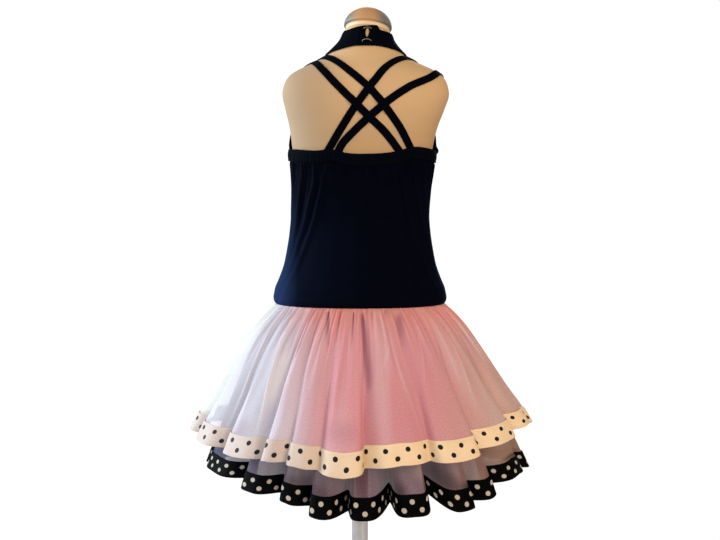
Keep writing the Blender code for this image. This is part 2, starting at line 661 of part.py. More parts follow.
def strap_line(tree, guides):
    """Evenly spaced points along a strap, and the form's normal at each."""
    points = np.array([strap_guide(tree, guide) for guide in guides])
    length = np.concatenate([[0], np.cumsum(np.linalg.norm(np.diff(points, axis=0), axis=1))])
    fine = np.linspace(0, length[-1], 200)
    curve = catmull_rom(length, points, fine)
    snapped, normals = [], []
    for place in curve:
        near, normal, _, _ = tree.find_nearest(Vector(place))
        snapped.append(near)
        normals.append(normal)
    snapped, normals = smoothed(np.array(snapped), 5), smoothed(np.array(normals), 9)
    length = np.concatenate([[0], np.cumsum(np.linalg.norm(np.diff(snapped, axis=0), axis=1))])
    at = np.linspace(0, length[-1], STRAP_RINGS)
    line = np.stack([np.interp(at, length, snapped[:, k]) for k in range(3)], axis=1)
    normal = np.stack([np.interp(at, length, normals[:, k]) for k in range(3)], axis=1)
    return line, normal / np.linalg.norm(normal, axis=1, keepdims=True), at


def catmull_rom(xs, points, x):
    """A smooth curve through points in space, by the distance along them."""
    tangent = np.gradient(points, xs, axis=0)
    i = np.clip(np.searchsorted(xs, x, side="right") - 1, 0, len(xs) - 2)
    step = (xs[i + 1] - xs[i])[:, None]
    t = ((x - xs[i])[:, None]) / step
    return (
        (1 + 2 * t) * (1 - t) ** 2 * points[i]
        + t * (1 - t) ** 2 * step * tangent[i]
        + t * t * (3 - 2 * t) * points[i + 1]
        + t * t * (t - 1) * step * tangent[i + 1]
    )


def smoothed(values, width):
    """A running mean down the rows, with the ends kept."""
    half = width // 2
    padded = np.concatenate([np.repeat(values[:1], half, 0), values, np.repeat(values[-1:], half, 0)])
    mean = np.stack([padded[i : i + len(values)] for i in range(width)]).mean(axis=0)
    mean[0], mean[-1] = values[0], values[-1]
    return mean


def meeting(first, second):
    """How far along each of two strap lines they pass closest to each other."""
    a, at_a = first[0], first[2]
    b, at_b = second[0], second[2]
    fine_a, fine_b = np.linspace(0, at_a[-1], 400), np.linspace(0, at_b[-1], 400)
    dense_a = np.stack([np.interp(fine_a, at_a, a[:, k]) for k in range(3)], axis=1)
    dense_b = np.stack([np.interp(fine_b, at_b, b[:, k]) for k in range(3)], axis=1)
    apart = np.linalg.norm(dense_a[:, None] - dense_b[None], axis=2)
    i, j = np.unravel_index(apart.argmin(), apart.shape)
    return fine_a[i], fine_b[j]


def settle(tree, line, normal, across):
    """How far each ring of a strap must stand off its line to clear the form all across."""
    lift = np.zeros(len(line))
    for _ in range(3):
        for side in (-1.0, -0.5, 0.0, 0.5, 1.0):
            edge = line + across * side * STRAP_WIDTH / 2 + normal * lift[:, None]
            for middle in (False, True):
                places = (edge[1:] + edge[:-1]) / 2 if middle else edge
                for k, place in enumerate(places):
                    near, out, _, _ = tree.find_nearest(Vector(place))
                    short = STRAP_CLEAR - (Vector(place) - near).dot(out)
                    if short > 0:
                        lift[k] += short
                        if middle:
                            lift[k + 1] += short
    return lift


def straps(form):
    """The four crossed straps, each raised where it passes over another."""
    tree = tree_of(form)
    lines = {name: strap_line(tree, guides) for name, guides in STRAPS.items()}
    raised = {name: [] for name in lines}
    for over, under in CROSSINGS:
        raised[over].append(meeting(lines[over], lines[under])[0])
    for name, (line, normal, at) in lines.items():
        lift = np.zeros(len(at))
        for place in raised[name]:
            hump = eased((CROSS_FLAT + CROSS_RAMP - np.abs(at - place)) / CROSS_RAMP)
            lift = np.maximum(lift, hump * (STRAP_THICK + CROSS_CLEAR))
        ahead = np.gradient(line, at, axis=0)
        ahead /= np.linalg.norm(ahead, axis=1, keepdims=True)
        across = np.cross(normal, ahead)
        across /= np.linalg.norm(across, axis=1, keepdims=True)
        low = line + normal * (settle(tree, line, normal, across) + lift)[:, None]
        high = low + normal * STRAP_THICK
        half = across * STRAP_WIDTH / 2
        inner = np.stack([low - half, low + half], axis=1)
        outer = np.stack([high - half, high + half], axis=1)
        wall(name, inner, outer, BLACK)


# ---------------------------------------------------------------- the skirt
def fold_columns(folds, others, first_turn, girth):
    """Columns of half a tier: the turn at each, its fold's swing, how far it stands out and
    hangs down at the hem, and its gather. others are the other half's folds. The end columns
    stop short of the side seams."""
    total = sum(fold.angle for fold in folds)
    ring = folds + others
    columns = []
    start = first_turn
    for k, fold in enumerate(folds):
        width = 0.5 * fold.angle / total
        flare = max(width / 6 - VALLEY_GAP / girth, 0.0)
        phases = [-180] * (k == 0) + FOLD_PHASES + [180] * (k == len(folds) - 1)
        for phase in phases:
            before = ring[k - 1]
            beside = before if phase < 0 else ring[k + 1]
            valley = before if phase < 0 else fold
            near = abs(phase) / 360
            angle = math.radians(phase)
            dip = ((1 - math.cos(angle)) / 2) ** FOLD_FULLNESS
            turn = start + width * (phase / 360 + 0.5)
            if abs(phase) == 180:
                turn -= math.copysign(TIER_SEAM, phase)
            columns.append((
                turn,
                flare * math.sin(angle) + 0.5 * valley.shift / total * dip,
                fold.crest * (1 - dip) - (fold.depth + beside.depth) / 2 * dip,
                fold.drop * (1 - near) + beside.drop * near - valley.rise * dip,
                math.sin(GATHERS_PER_FOLD * angle),
            ))
        start += width
    return np.array(columns).T


def sideways(grid):
    """Level normals of a grid of points [row][column], long enough to keep a wall's
    thickness where it bends."""
    ahead = np.diff(grid, axis=1)
    ahead[..., 2] = 0
    ahead /= np.linalg.norm(ahead, axis=2, keepdims=True)
    normal = np.stack([ahead[..., 1], -ahead[..., 0], ahead[..., 2]], axis=-1)
    before = np.concatenate([normal[:, :1], normal], axis=1)
    after = np.concatenate([normal, normal[:, -1:]], axis=1)
    mean = before + after
    mean /= np.linalg.norm(mean, axis=2, keepdims=True)
    return mean / np.maximum((mean * after).sum(axis=2, keepdims=True), 0.5)


def tier_grid(profile, columns, shares):
    """The middle surface of half a tier: [share][column] points."""
    turn, swing, stand_out, drop, gather = columns
    droop = HEM_DROOP * np.sin(2 * math.pi * turn) ** 2
    grid = []
    for share in shares:
        height, half_width, back, front, lean = [
            read(profile, "share", name, share) for name in Profile._fields[1:]
        ]
        gathered = SEAM_GATHER + (FULL_GATHER - SEAM_GATHER) * eased(share / 0.12)
        gathered *= 1 - eased((share - 0.12) / 0.5)
        out = stand_out * share ** 1.15 + gather * gathered
        square = 2.2 - 0.2 * eased(share / 0.5)
        x, y = round_section(
            turn + swing * eased(share * 1.2), half_width + out, back + out, front + out, 0.0, lean, square
        )
        grid.append(np.stack([x, y, height - (drop + droop) * share ** 2], axis=-1))
    return np.array(grid)


def tier(name, profile, trim_name, back_folds, front_folds, trim_spec):
    """One tulle tier as a back and a front panel, with the ribbon sewn round its hem."""
    shares = [row.share for row in profile]
    hem = profile[-1]
    girth = math.pi * (hem.half_width + (hem.back + hem.front) / 2)
    trims = []
    for half, folds, others, first_turn in (
        ("back", back_folds, front_folds, 0.0),
        ("front", front_folds, back_folds, 0.5),
    ):
        columns = fold_columns(folds, others, first_turn, girth)
        grid = tier_grid(profile, columns, shares)
        normal = sideways(grid)
        wall(f"{name}_{half}", grid - normal * TULLE / 2, grid + normal * TULLE / 2, PINK)
        # The ribbon bridges the valleys at the side seams.
        hem_rows, hem_normal = grid[-2:, 1:-1], normal[-2:, 1:-1]
        outside = TULLE / 2 + TRIM_CLEAR
        trims.append((hem_rows + hem_normal * outside, hem_rows + hem_normal * (outside + RIBBON)))
    inner = np.concatenate([trims[0][0], trims[1][0]], axis=1)
    outer = np.concatenate([trims[0][1], trims[1][1]], axis=1)
    wall(trim_name, inner, outer, trim_spec, closed=True)


def main():
    for old in list(bpy.data.objects):
        bpy.data.objects.remove(old)
    torso = form_torso()
    neck_cap()
    stand()
    bodice_back()
    back_band()
    bodice_front()
    collar()
    collar_hooks()
    straps(torso)
    tier("upper_tier", UPPER_TIER, "upper_trim", UPPER_BACK_FOLDS, UPPER_FRONT_FOLDS, WHITE)
    tier("lower_tier", LOWER_TIER, "lower_trim", LOWER_BACK_FOLDS, LOWER_FRONT_FOLDS, DARK)


main()
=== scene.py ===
"""Looks of the ballet tutu and the child's dress form that it is worn on.

Metres, +Z up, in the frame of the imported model: the origin is the middle of the base plate's
underside, the garment's front faces -Y, its back +Y, and +X is the wearer's left.
"""

import math
from collections import namedtuple

import bmesh
import bpy
import numpy as np
from mathutils import Euler, Matrix, Vector
from mathutils.bvhtree import BVHTree


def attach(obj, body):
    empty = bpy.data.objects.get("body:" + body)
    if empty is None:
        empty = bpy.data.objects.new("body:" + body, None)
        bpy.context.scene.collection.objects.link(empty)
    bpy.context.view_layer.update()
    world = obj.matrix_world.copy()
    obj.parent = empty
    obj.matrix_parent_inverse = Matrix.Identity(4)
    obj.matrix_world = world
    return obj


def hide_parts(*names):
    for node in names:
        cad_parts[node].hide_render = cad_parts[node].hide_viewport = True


def table(row, *rows):
    """Rows with named columns."""
    return [row(*values) for values in rows]


# ---- sizes shared with the solids
SEAM = 0.0003
CLOTH = 0.0014
RIBBON = 0.0012
TRIM_CLEAR = 0.0008
STRAP_WIDTH = 0.0118
STRAP_THICK = 0.0015
STRAP_CLEAR = 0.0005
BODICE_CLEAR = 0.0040
FORM_BOTTOM = 0.490
NECK_TOP = 1.0045
NECK_TILT = math.radians(5)
NECK_NOD = math.radians(14)
CAP_FOOT_RADIUS = 0.0328
CAP_RADIUS = 0.0372
CAP_FOOT = 0.0035
CAP_SHOULDER = 0.0080
CAP_HEIGHT = 0.0370
POLE_RADIUS = 0.0125
BASE_RADIUS = 0.150
BASE_THICK = 0.010
BASE_EDGE = 0.003
SOCKET_RADIUS = 0.022
SOCKET_HEIGHT = 0.035
BODICE_HEM = 0.5865
BACK_TOP_SIDE = 0.808
BACK_TOP_DIP = 0.009
BAND_WIDTH = 0.0165
BODICE_SEAM = 0.0003

# How far the inside of the bodice stands off the form.
Ease = namedtuple("Ease", "height out")
BODICE_EASE = table(
    Ease,
    (BODICE_HEM, 0.0062),
    (0.59, 0.0092),
    (0.596, 0.0108),
    (0.606, 0.0108),
    (0.622, 0.008),
    (0.65, 0.0046),
    (0.8, BODICE_CLEAR),
    (0.952, BODICE_CLEAR),
    (0.963, 0.0014),
    (1.0, 0.001),
)

# The front panel's rows: their height at the sides, their dip at the centre front, and the
# share of a quarter turn by which they stop short of the side.
FrontRow = namedtuple("FrontRow", "height dip edge")
FRONT = table(
    FrontRow,
    (BODICE_HEM, 0.0, 0.0),
    (0.8245, 0.0, 0.0),
    (0.84, 0.001, 0.1),
    (0.858, 0.002, 0.22),
    (0.878, 0.003, 0.34),
    (0.898, 0.005, 0.43),
    (0.918, 0.007, 0.48),
    (0.934, 0.009, 0.51),
    (0.946, 0.011, 0.52),
    (0.957, 0.0125, 0.46),
    (0.975, 0.0, 0.4),
)

# The tiers' profiles over the crests of their folds, from the seam down.
Profile = namedtuple("Profile", "share height half_width back front lean")
UPPER_TIER = table(
    Profile,
    (0.0, 0.5862, 0.1302, 0.0917, 0.0817, 0.0),
    (0.06, 0.579, 0.1375, 0.0988, 0.0888, 0.0),
    (0.2, 0.553, 0.162, 0.122, 0.112, 0.0),
    (0.42, 0.503, 0.198, 0.157, 0.146, 0.0),
    (0.66, 0.452, 0.227, 0.185, 0.174, -0.001),
    (0.87, 0.411, 0.251, 0.211, 0.198, -0.002),
    (1.0, 0.383, 0.265, 0.226, 0.2125, -0.002),
)
LOWER_TIER = table(
    Profile,
    (0.0, 0.5862, 0.1268, 0.0883, 0.0783, 0.0),
    (0.05, 0.5775, 0.131, 0.092, 0.082, 0.0),
    (0.18, 0.544, 0.153, 0.114, 0.104, 0.0),
    (0.42, 0.482, 0.185, 0.147, 0.135, -0.002),
    (0.66, 0.414, 0.215, 0.175, 0.161, -0.005),
    (0.9, 0.3477, 0.2411, 0.2032, 0.187, -0.008),
    (1.0, 0.321, 0.2515, 0.214, 0.197, -0.009),
)
HEM_DROOP = 0.009
GATHERS_PER_FOLD = 3
SEAM_GATHER = 0.0008
FULL_GATHER = 0.0017

# Folds at the hem, round from a side seam: width in degrees, depth of the valley after it, how
# far the fold itself stands out, how much lower its hem hangs, how many degrees the valley after
# it is pushed along, so that it hides behind a fold, and how far the hem is drawn up there.
Fold = namedtuple("Fold", "angle depth crest drop shift rise", defaults=(0.0,))
UPPER_BACK_FOLDS = table(
    Fold,
    (14.2, 0.02, 0.0, -0.012, 0.0),
    (18.9, 0.02, 0.0, -0.006, 2.0),
    (20.7, 0.028, -0.002, -0.001, 2.5),
    (8.0, 0.018, 0.004, -0.006, 1.5),
    (13.0, 0.009, 0.0, -0.002, 0.0),
    (18.8, 0.022, 0.005, 0.009, -2.5),
    (19.2, 0.03, -0.003, -0.006, 2.5),
    (23.3, 0.016, 0.003, -0.004, -2.0),
    (19.4, 0.02, 0.0, -0.017, -2.0),
    (13.7, 0.02, 0.0, -0.028, 0.0),
    (10.8, 0.02, 0.0, -0.02, 0.0),
)
UPPER_FRONT_FOLDS = table(
    Fold,
    (18.0, 0.021, 0.001, -0.006, 1.0),
    (21.0, 0.025, -0.001, 0.002, 2.0),
    (17.0, 0.02, 0.002, 0.004, 2.0),
    (11.0, 0.028, -0.002, 0.001, 1.5),
    (24.5, 0.018, 0.003, 0.005, -2.0),
    (15.5, 0.027, 0.0, -0.004, 2.5),
    (18.5, 0.02, 0.002, 0.003, -1.5),
    (20.0, 0.024, -0.002, 0.0, -2.5),
    (16.5, 0.021, 0.001, -0.003, -1.5),
    (18.0, 0.02, 0.0, -0.004, 0.0),
)
LOWER_BACK_FOLDS = table(
    Fold,
    (7.2, 0.026, -0.004, -0.018, 0.0, 0.0),
    (30.1, 0.034, 0.0, -0.022, 2.0, 0.004),
    (16.6, 0.034, 0.002, -0.013, 0.5, 0.002),
    (12.3, 0.034, -0.008, -0.004, 1.5, 0.0),
    (15.1, 0.034, 0.004, 0.01, 1.0, 0.002),
    (15.6, 0.05, 0.002, 0.01, 4.0, 0.01),
    (20.0, 0.058, 0.002, 0.007, -1.0, 0.022),
    (17.8, 0.026, 0.003, 0.009, -1.5, 0.0),
    (10.9, 0.032, -0.003, 0.002, -2.0, 0.002),
    (22.7, 0.03, 0.0, -0.018, -1.0, 0.002),
    (11.7, 0.028, 0.002, -0.012, 0.0, 0.0),
)
LOWER_FRONT_FOLDS = table(
    Fold,
    (19.0, 0.034, 0.0, -0.006, 1.0, 0.002),
    (15.0, 0.036, 0.002, 0.0, 2.0, 0.004),
    (19.5, 0.034, -0.003, 0.004, 1.0, 0.0),
    (11.5, 0.042, 0.002, 0.001, 2.5, 0.008),
    (21.0, 0.046, 0.003, 0.005, -2.0, 0.012),
    (14.0, 0.036, -0.004, 0.0, 1.5, 0.002),
    (16.0, 0.044, 0.002, 0.004, -1.0, 0.01),
    (20.5, 0.034, 0.0, 0.002, -1.5, 0.002),
    (12.5, 0.036, -0.003, -0.004, -2.0, 0.002),
    (17.0, 0.032, 0.002, -0.008, -1.0, 0.002),
    (14.0, 0.028, 0.0, -0.012, 0.0, 0.0),
)
COLLAR_THICK = 0.0020
COLLAR_CLEAR = 0.0013
COLLAR_STAND = 0.0028
NECK_RADIUS = 0.0370
CROSSINGS = [
    ("strap_a", "strap_d"),
    ("strap_c", "strap_a"),
    ("strap_d", "strap_b"),
    ("strap_b", "strap_c"),
]
CROSS_FLAT = 0.0085
CROSS_RAMP = 0.0120
CROSS_CLEAR = 0.00075
RIDGE_Y = -0.006

# ---- forms that follow the photo more closely than the solids do
# The form's level sections, from the bottom up. From 0.922 to 0.990 they are wider than the
# solid's.
Section = namedtuple("Section", "height half_width back front middle lean squareness")
FORM = table(
    Section,
    (0.49, 0.115, 0.074, 0.069, 0.0, 0.0, 2.2),
    (0.5, 0.12, 0.079, 0.073, 0.0, 0.0, 2.2),
    (0.53, 0.1235, 0.083, 0.0745, 0.0, 0.0, 2.2),
    (0.56, 0.1245, 0.085, 0.075, 0.0, 0.0, 2.2),
    (0.587, 0.1235, 0.085, 0.075, 0.0, 0.0, 2.2),
    (0.605, 0.1205, 0.083, 0.0745, 0.0, 0.0, 2.2),
    (0.636, 0.114, 0.076, 0.0735, 0.0, 0.0, 2.2),
    (0.667, 0.108, 0.068, 0.072, 0.0, 0.0, 2.2),
    (0.698, 0.1035, 0.061, 0.07, 0.0, 0.0, 2.2),
    (0.721, 0.1018, 0.058, 0.069, 0.0, 0.0, 2.2),
    (0.76, 0.1025, 0.058, 0.07, 0.0, -0.0015, 2.2),
    (0.807, 0.106, 0.062, 0.073, 0.0, -0.0035, 2.3),
    (0.832, 0.109, 0.064, 0.074, 0.0, -0.004, 2.3),
    (0.858, 0.114, 0.066, 0.072, 0.0, -0.0055, 2.4),
    (0.884, 0.122, 0.0655, 0.067, 0.0, -0.0075, 2.5),
    (0.908, 0.128, 0.063, 0.06, -0.001, -0.0088, 2.5),
    (0.922, 0.1255, 0.059, 0.053, -0.002, -0.0088, 2.5),
    (0.934, 0.119, 0.0555, 0.0465, -0.003, -0.0088, 2.4),
    (0.943, 0.108, 0.0525, 0.0425, -0.005, -0.0088, 2.3),
    (0.951, 0.092, 0.048, 0.04, -0.007, -0.0086, 2.2),
    (0.958, 0.077, 0.044, 0.039, -0.009, -0.0085, 2.1),
    (0.965, 0.064, 0.0415, 0.0385, -0.011, -0.0086, 2.0),
    (0.976, 0.051, 0.0385, 0.037, -0.013, -0.0092, 2.0),
    (0.99, 0.039, 0.0355, 0.035, -0.015, -0.0105, 2.0),
    (NECK_TOP, 0.0325, 0.0325, 0.0325, -0.016, -0.0115, 2.0),
)

# The collar's edges, from its closure at the centre back past the wearer's right side, round
# the front and back past the left side. Its top is a few millimetres above the solid's.
CollarPoint = namedtuple("CollarPoint", "turn low high")
COLLAR = table(
    CollarPoint,
    (0.0, 0.9785, 1.0105),
    (0.05, 0.9785, 1.011),
    (0.066, 0.978, 1.0105),
    (0.092, 0.977, 1.003),
    (0.16, 0.9735, 1.001),
    (0.25, 0.967, 0.998),
    (0.37, 0.959, 0.992),
    (0.5, 0.9555, 0.989),
    (0.63, 0.959, 0.994),
    (0.75, 0.967, 1.002),
    (0.86, 0.974, 1.006),
    (0.95, 0.9785, 1.0095),
    (1.0, 0.9785, 1.0105),
)

# The slot between the collar's ends, its middle and reach as shares of the collar's height, and
# the hooks over it, which are thinner, narrower and higher than their solids.
CLOSURE_END_GAP = 0.0003
CLOSURE_MID_GAP = 0.0056
CLOSURE_MIDDLE = 0.66
CLOSURE_REACH = 0.26
HOOK_WIRE = 0.0008
HOOK_WIDTH = 0.0110
HOOK_DEPTH = 0.0020
HOOK_HEIGHTS = (0.9866, 1.0062)

# Straps, as points on the form that each one passes over. strap_a and strap_c cross the
# shoulders at other places than their solids.
StrapPoint = namedtuple("StrapPoint", "face across height", defaults=(0.0,))
STRAPS = {
    "strap_a": table(
        StrapPoint,
        ("back", 0.0522, 0.812),
        ("back", 0.0268, 0.8547),
        ("back", 0.0065, 0.8862),
        ("back", -0.0134, 0.9125),
        ("back", -0.0398, 0.9455),
        ("ridge", -0.08),
        ("front", -0.086, 0.936),
        ("front", -0.079, 0.91),
    ),
    "strap_b": table(
        StrapPoint,
        ("back", 0.035, 0.812),
        ("back", 0.0282, 0.827),
        ("back", 0.0089, 0.8487),
        ("back", -0.0134, 0.8693),
        ("back", -0.0356, 0.8886),
        ("back", -0.074, 0.915),
        ("back", -0.104, 0.929),
        ("ridge", -0.123),
        ("front", -0.12, 0.91),
        ("front", -0.096, 0.88),
    ),
    "strap_c": table(
        StrapPoint,
        ("back", -0.064, 0.812),
        ("back", -0.0357, 0.8488),
        ("back", -0.0156, 0.8679),
        ("back", 0.0045, 0.8878),
        ("back", 0.0358, 0.919),
        ("back", 0.0545, 0.9395),
        ("ridge", 0.076),
        ("front", 0.0915, 0.93),
        ("front", 0.078, 0.888),
    ),
    "strap_d": table(
        StrapPoint,
        ("back", -0.0815, 0.812),
        ("back", -0.0581, 0.8563),
        ("back", -0.0378, 0.8842),
        ("back", -0.0134, 0.9135),
        ("back", 0.017, 0.94),
        ("ridge", 0.06),
        ("front", 0.067, 0.936),
        ("front", 0.061, 0.91),
    ),
}
FOLD_FULLNESS = 2.2             # makes the folds broader than the valleys between them
VALLEY_GAP = 0.0086             # width left in the hem's valleys, for the ribbon on both sides

# ---- sizes of the looks alone
CAMERA_DISTANCE = 1.80          # from the form's axis
CAMERA_HEIGHT = 0.760
CAMERA_PITCH = math.radians(3.9)
CAMERA_LENS = 58.05             # millimetres on a 36 mm sensor
FLOOR_HALF = 0.32
FLOOR_DROP = 0.0005             # how far the floor lies under the base plate
RIBBON_WIDTH = 0.032
CAP_COVER = 0.0054              # how far the neck's cream cover comes up round the cap's foot
HEM_ROLL = 0.0012               # the radius of the bodice's and collar's rolled edges,
BAND_ROLL = 0.0011              # of the band's
RIBBON_ROLL = 0.0007            # and of the ribbons'
BAND_THICK = 0.0018
BAND_LAP = 0.0022               # how far the band laps over the panel's gathers
SIDE_LAP = 0.0012               # how far round the front laps under the back at the side seams
BACK_GATHERS = (61, 83, 112, 137)
BACK_GATHER_DEPTH = 0.0013
BACK_GATHER_REACH = 0.050       # how far the finest gathers run down, of the panel's length
BACK_PUCKER = 0.0012            # the broader puckers below them,
BACK_PUCKER_REACH = 0.22        # and how far these run down
BACK_LEAST = 0.0022             # the least that the middle of the back's wall stands off the form
BACK_SMOOTH = 0.008             # how far down the panel's edge stays smooth,
BACK_SMOOTH_END = 0.016         # and how soon below it the gathers are whole
BODICE_WAVE = 0.0006            # the soft undulations of the bodice's wall,
BAND_WAVE = 0.0005              # the band's
COLLAR_WAVE = 0.00035           # and the collar's
BAND_OUT = 0.0013               # the middle of the band's wall, off the panel's outside
BAND_CROWN = 0.0005             # how far the band swells along its middle,
BAND_LEAN = 0.0012              # and leans in towards its top
BUST_HEIGHT = 0.805
BUST_OUT = 0.0012               # how far the front swells there, beside its middle
TUCK_HEIGHT = 0.822
TUCK_OUT = 0.0050               # how far the front stands out over the band's end on the right
FRONT_TOP = 0.975
FRONT_GIRTH = 0.30              # its width round the body, for its rolled side edges
FRONT_SMOOTH = 0.93             # the height above which the front has no creases
ARMHOLE_FOOT = 0.832            # where the armhole's stitches start
COLLAR_HEIGHT = 0.029
COLUMNS_PER_DEGREE = 2.5
FINE_GATHERS = 5                # between one fold's middle and the next, at the seam
FINE_GATHER = 0.0009            # how far they stand at the seam,
DEEP_GATHER = 0.0016            # and a little below it
GATHER_PEAK = 0.09              # of the tier's length
GATHER_END = 0.34
GATHER_UNEVEN = 0.45            # how unevenly far they run, of that length,
GATHER_DRIFT = 1.3              # and how far they drift along, in radians of their wave
LARGE_PEAK = 0.12               # and the same of the large gathers that the solids have too
LARGE_REACH = 0.5
DARK_CREASE = 0.006             # a crease this deep gets the full painted shade in the tulle's colour
RIPPLE = 0.0016                 # how far the panels wave between the folds

# Where the straps pull the band's top edge up, or it sags, for amounts less than nothing.
Pull = namedtuple("Pull", "amount turn wide")
BAND_PULLS = table(Pull, (0.0048, 0.168, 0.030), (0.0056, 0.388, 0.044), (-0.0026, 0.485, 0.030))

# A stitch's length, the gap after it and its thread's radius, in a seam and in a strap's tack.
Stitch = namedtuple("Stitch", "length gap radius")
SEAM_STITCH = Stitch(0.0024, 0.0009, 0.00016)
TACK_STITCH = Stitch(0.0016, 0.0004, 0.00018)
STITCH_SHOULDER = 0.34          # where it is thickest, from its middle as a share of its length

# The lamps, all aimed at one point.
Lamp = namedtuple("Lamp", "name place size power colour")
LAMP_TARGET = (0.0, 0.0, 0.62)
LAMPS = table(
    Lamp,
    ("window", (2.4, -0.3, 1.2), (1.4, 1.8), 112.0, (0.80, 0.91, 1.0)),
    ("daylight", (0.9, 2.4, 1.7), (1.4, 1.4), 26.0, (0.97, 0.98, 1.0)),
    ("warm_fill", (-1.5, 2.1, 1.2), (1.2, 1.6), 44.0, (1.0, 0.80, 0.60)),
    ("front_fill", (-0.4, -2.3, 1.5), (1.8, 1.8), 30.0, (1.0, 0.95, 0.90)),
)

# The tulles' colours round from the wearer's far left to the left, the middle and the right, by the
# seam, in the troughs of the gathers and along the folds that catch the light. The far left, left and
# right colours are painted light, cool daylight from the wearer's left and a warm fill from the right;
# the trough colour is painted shade and the light colour a painted highlight.
Shades = namedtuple("Shades", "far_left left middle right seam trough light")
PINK_SHADES = Shades(
    (0.95, 0.98, 0.93), (0.77, 0.76, 0.86), (0.93, 0.395, 0.44), (0.76, 0.50, 0.43),
    (0.97, 0.38, 0.33), (0.40, 0.15, 0.23), (0.98, 0.90, 0.90),
)
DUSKY_SHADES = Shades(
    (0.040, 0.070, 0.150), (0.145, 0.130, 0.205), (0.160, 0.070, 0.100), (0.37, 0.23, 0.165),
    (0.20, 0.10, 0.13), (0.030, 0.014, 0.022), (0.46, 0.34, 0.31),
)

# A ribbon's dots: their pitch along each of its two staggered rows, where the rows lie as
# shares of its width, and a dot's radius.
Dots = namedtuple("Dots", "pitch rows radius")
BLACK_DOTS = Dots(0.0320, (0.29, 0.68), 0.0037)
WHITE_DOTS = Dots(0.0255, (0.33, 0.70), 0.0037)
DOT_BLUR = 0.0002               # how far a dot's edge fades to each side

# Creases, given one by one. turn is the place round the garment, tilt how far it drifts in turn
# by its end, start and length are shares of the panel from its gathered edge, depth is in
# metres and less than nothing for a ridge, and width is a share of a full turn.
Crease = namedtuple("Crease", "turn tilt start length depth width")
BACK_CREASES = table(
    Crease,
    (0.02, -0.006, 0.0, 0.22, -0.0016, 0.0045),
    (0.046, -0.018, 0.0, 0.3, -0.002, 0.005),
    (0.06, -0.022, 0.02, 0.24, 0.0014, 0.004),
    (0.08, -0.054, 0.04, 1.15, -0.0042, 0.0085),
    (0.098, -0.06, 0.06, 0.8, 0.0018, 0.006),
    (0.12, -0.094, 0.1, 1.1, -0.0046, 0.008),
    (0.131, -0.07, 0.14, 0.7, 0.0016, 0.0055),
    (0.142, -0.094, 0.16, 1.05, -0.0044, 0.008),
    (0.16, -0.05, 0.0, 0.36, -0.0012, 0.006),
    (0.19, -0.02, 0.0, 0.3, -0.001, 0.006),
    (0.222, -0.006, 0.0, 0.22, -0.0008, 0.005),
    (0.262, 0.004, 0.02, 0.5, -0.0009, 0.008),
    (0.3, 0.01, 0.0, 0.34, -0.0012, 0.006),
    (0.332, 0.014, 0.04, 0.58, -0.002, 0.0085),
    (0.352, 0.106, 0.03, 1.12, -0.0044, 0.0075),
    (0.366, 0.07, 0.02, 0.6, 0.0018, 0.0055),
    (0.38, 0.086, 0.0, 0.66, -0.0038, 0.0065),
    (0.404, 0.052, 0.0, 0.38, 0.0014, 0.0045),
    (0.42, 0.046, 0.0, 0.42, -0.0024, 0.006),
    (0.452, 0.018, 0.0, 0.26, -0.0018, 0.005),
    (0.476, 0.006, 0.0, 0.2, -0.0014, 0.0045),
)
FRONT_CREASES = table(
    Crease,
    (0.525, 0.01, 0.1, 0.4, 0.0012, 0.006),
    (0.556, 0.006, 0.02, 0.25, 0.001, 0.0055),
    (0.612, 0.004, 0.0, 0.16, 0.0008, 0.006),
    (0.688, 0.001, 0.0, 0.13, 0.0007, 0.0055),
    (0.764, -0.001, 0.0, 0.17, 0.0008, 0.006),
    (0.837, -0.002, 0.0, 0.12, 0.0007, 0.0055),
    (0.901, -0.005, 0.0, 0.2, 0.0009, 0.006),
    (0.948, -0.006, 0.04, 0.28, 0.0011, 0.0055),
    (0.974, -0.01, 0.12, 0.42, 0.0012, 0.006),
)
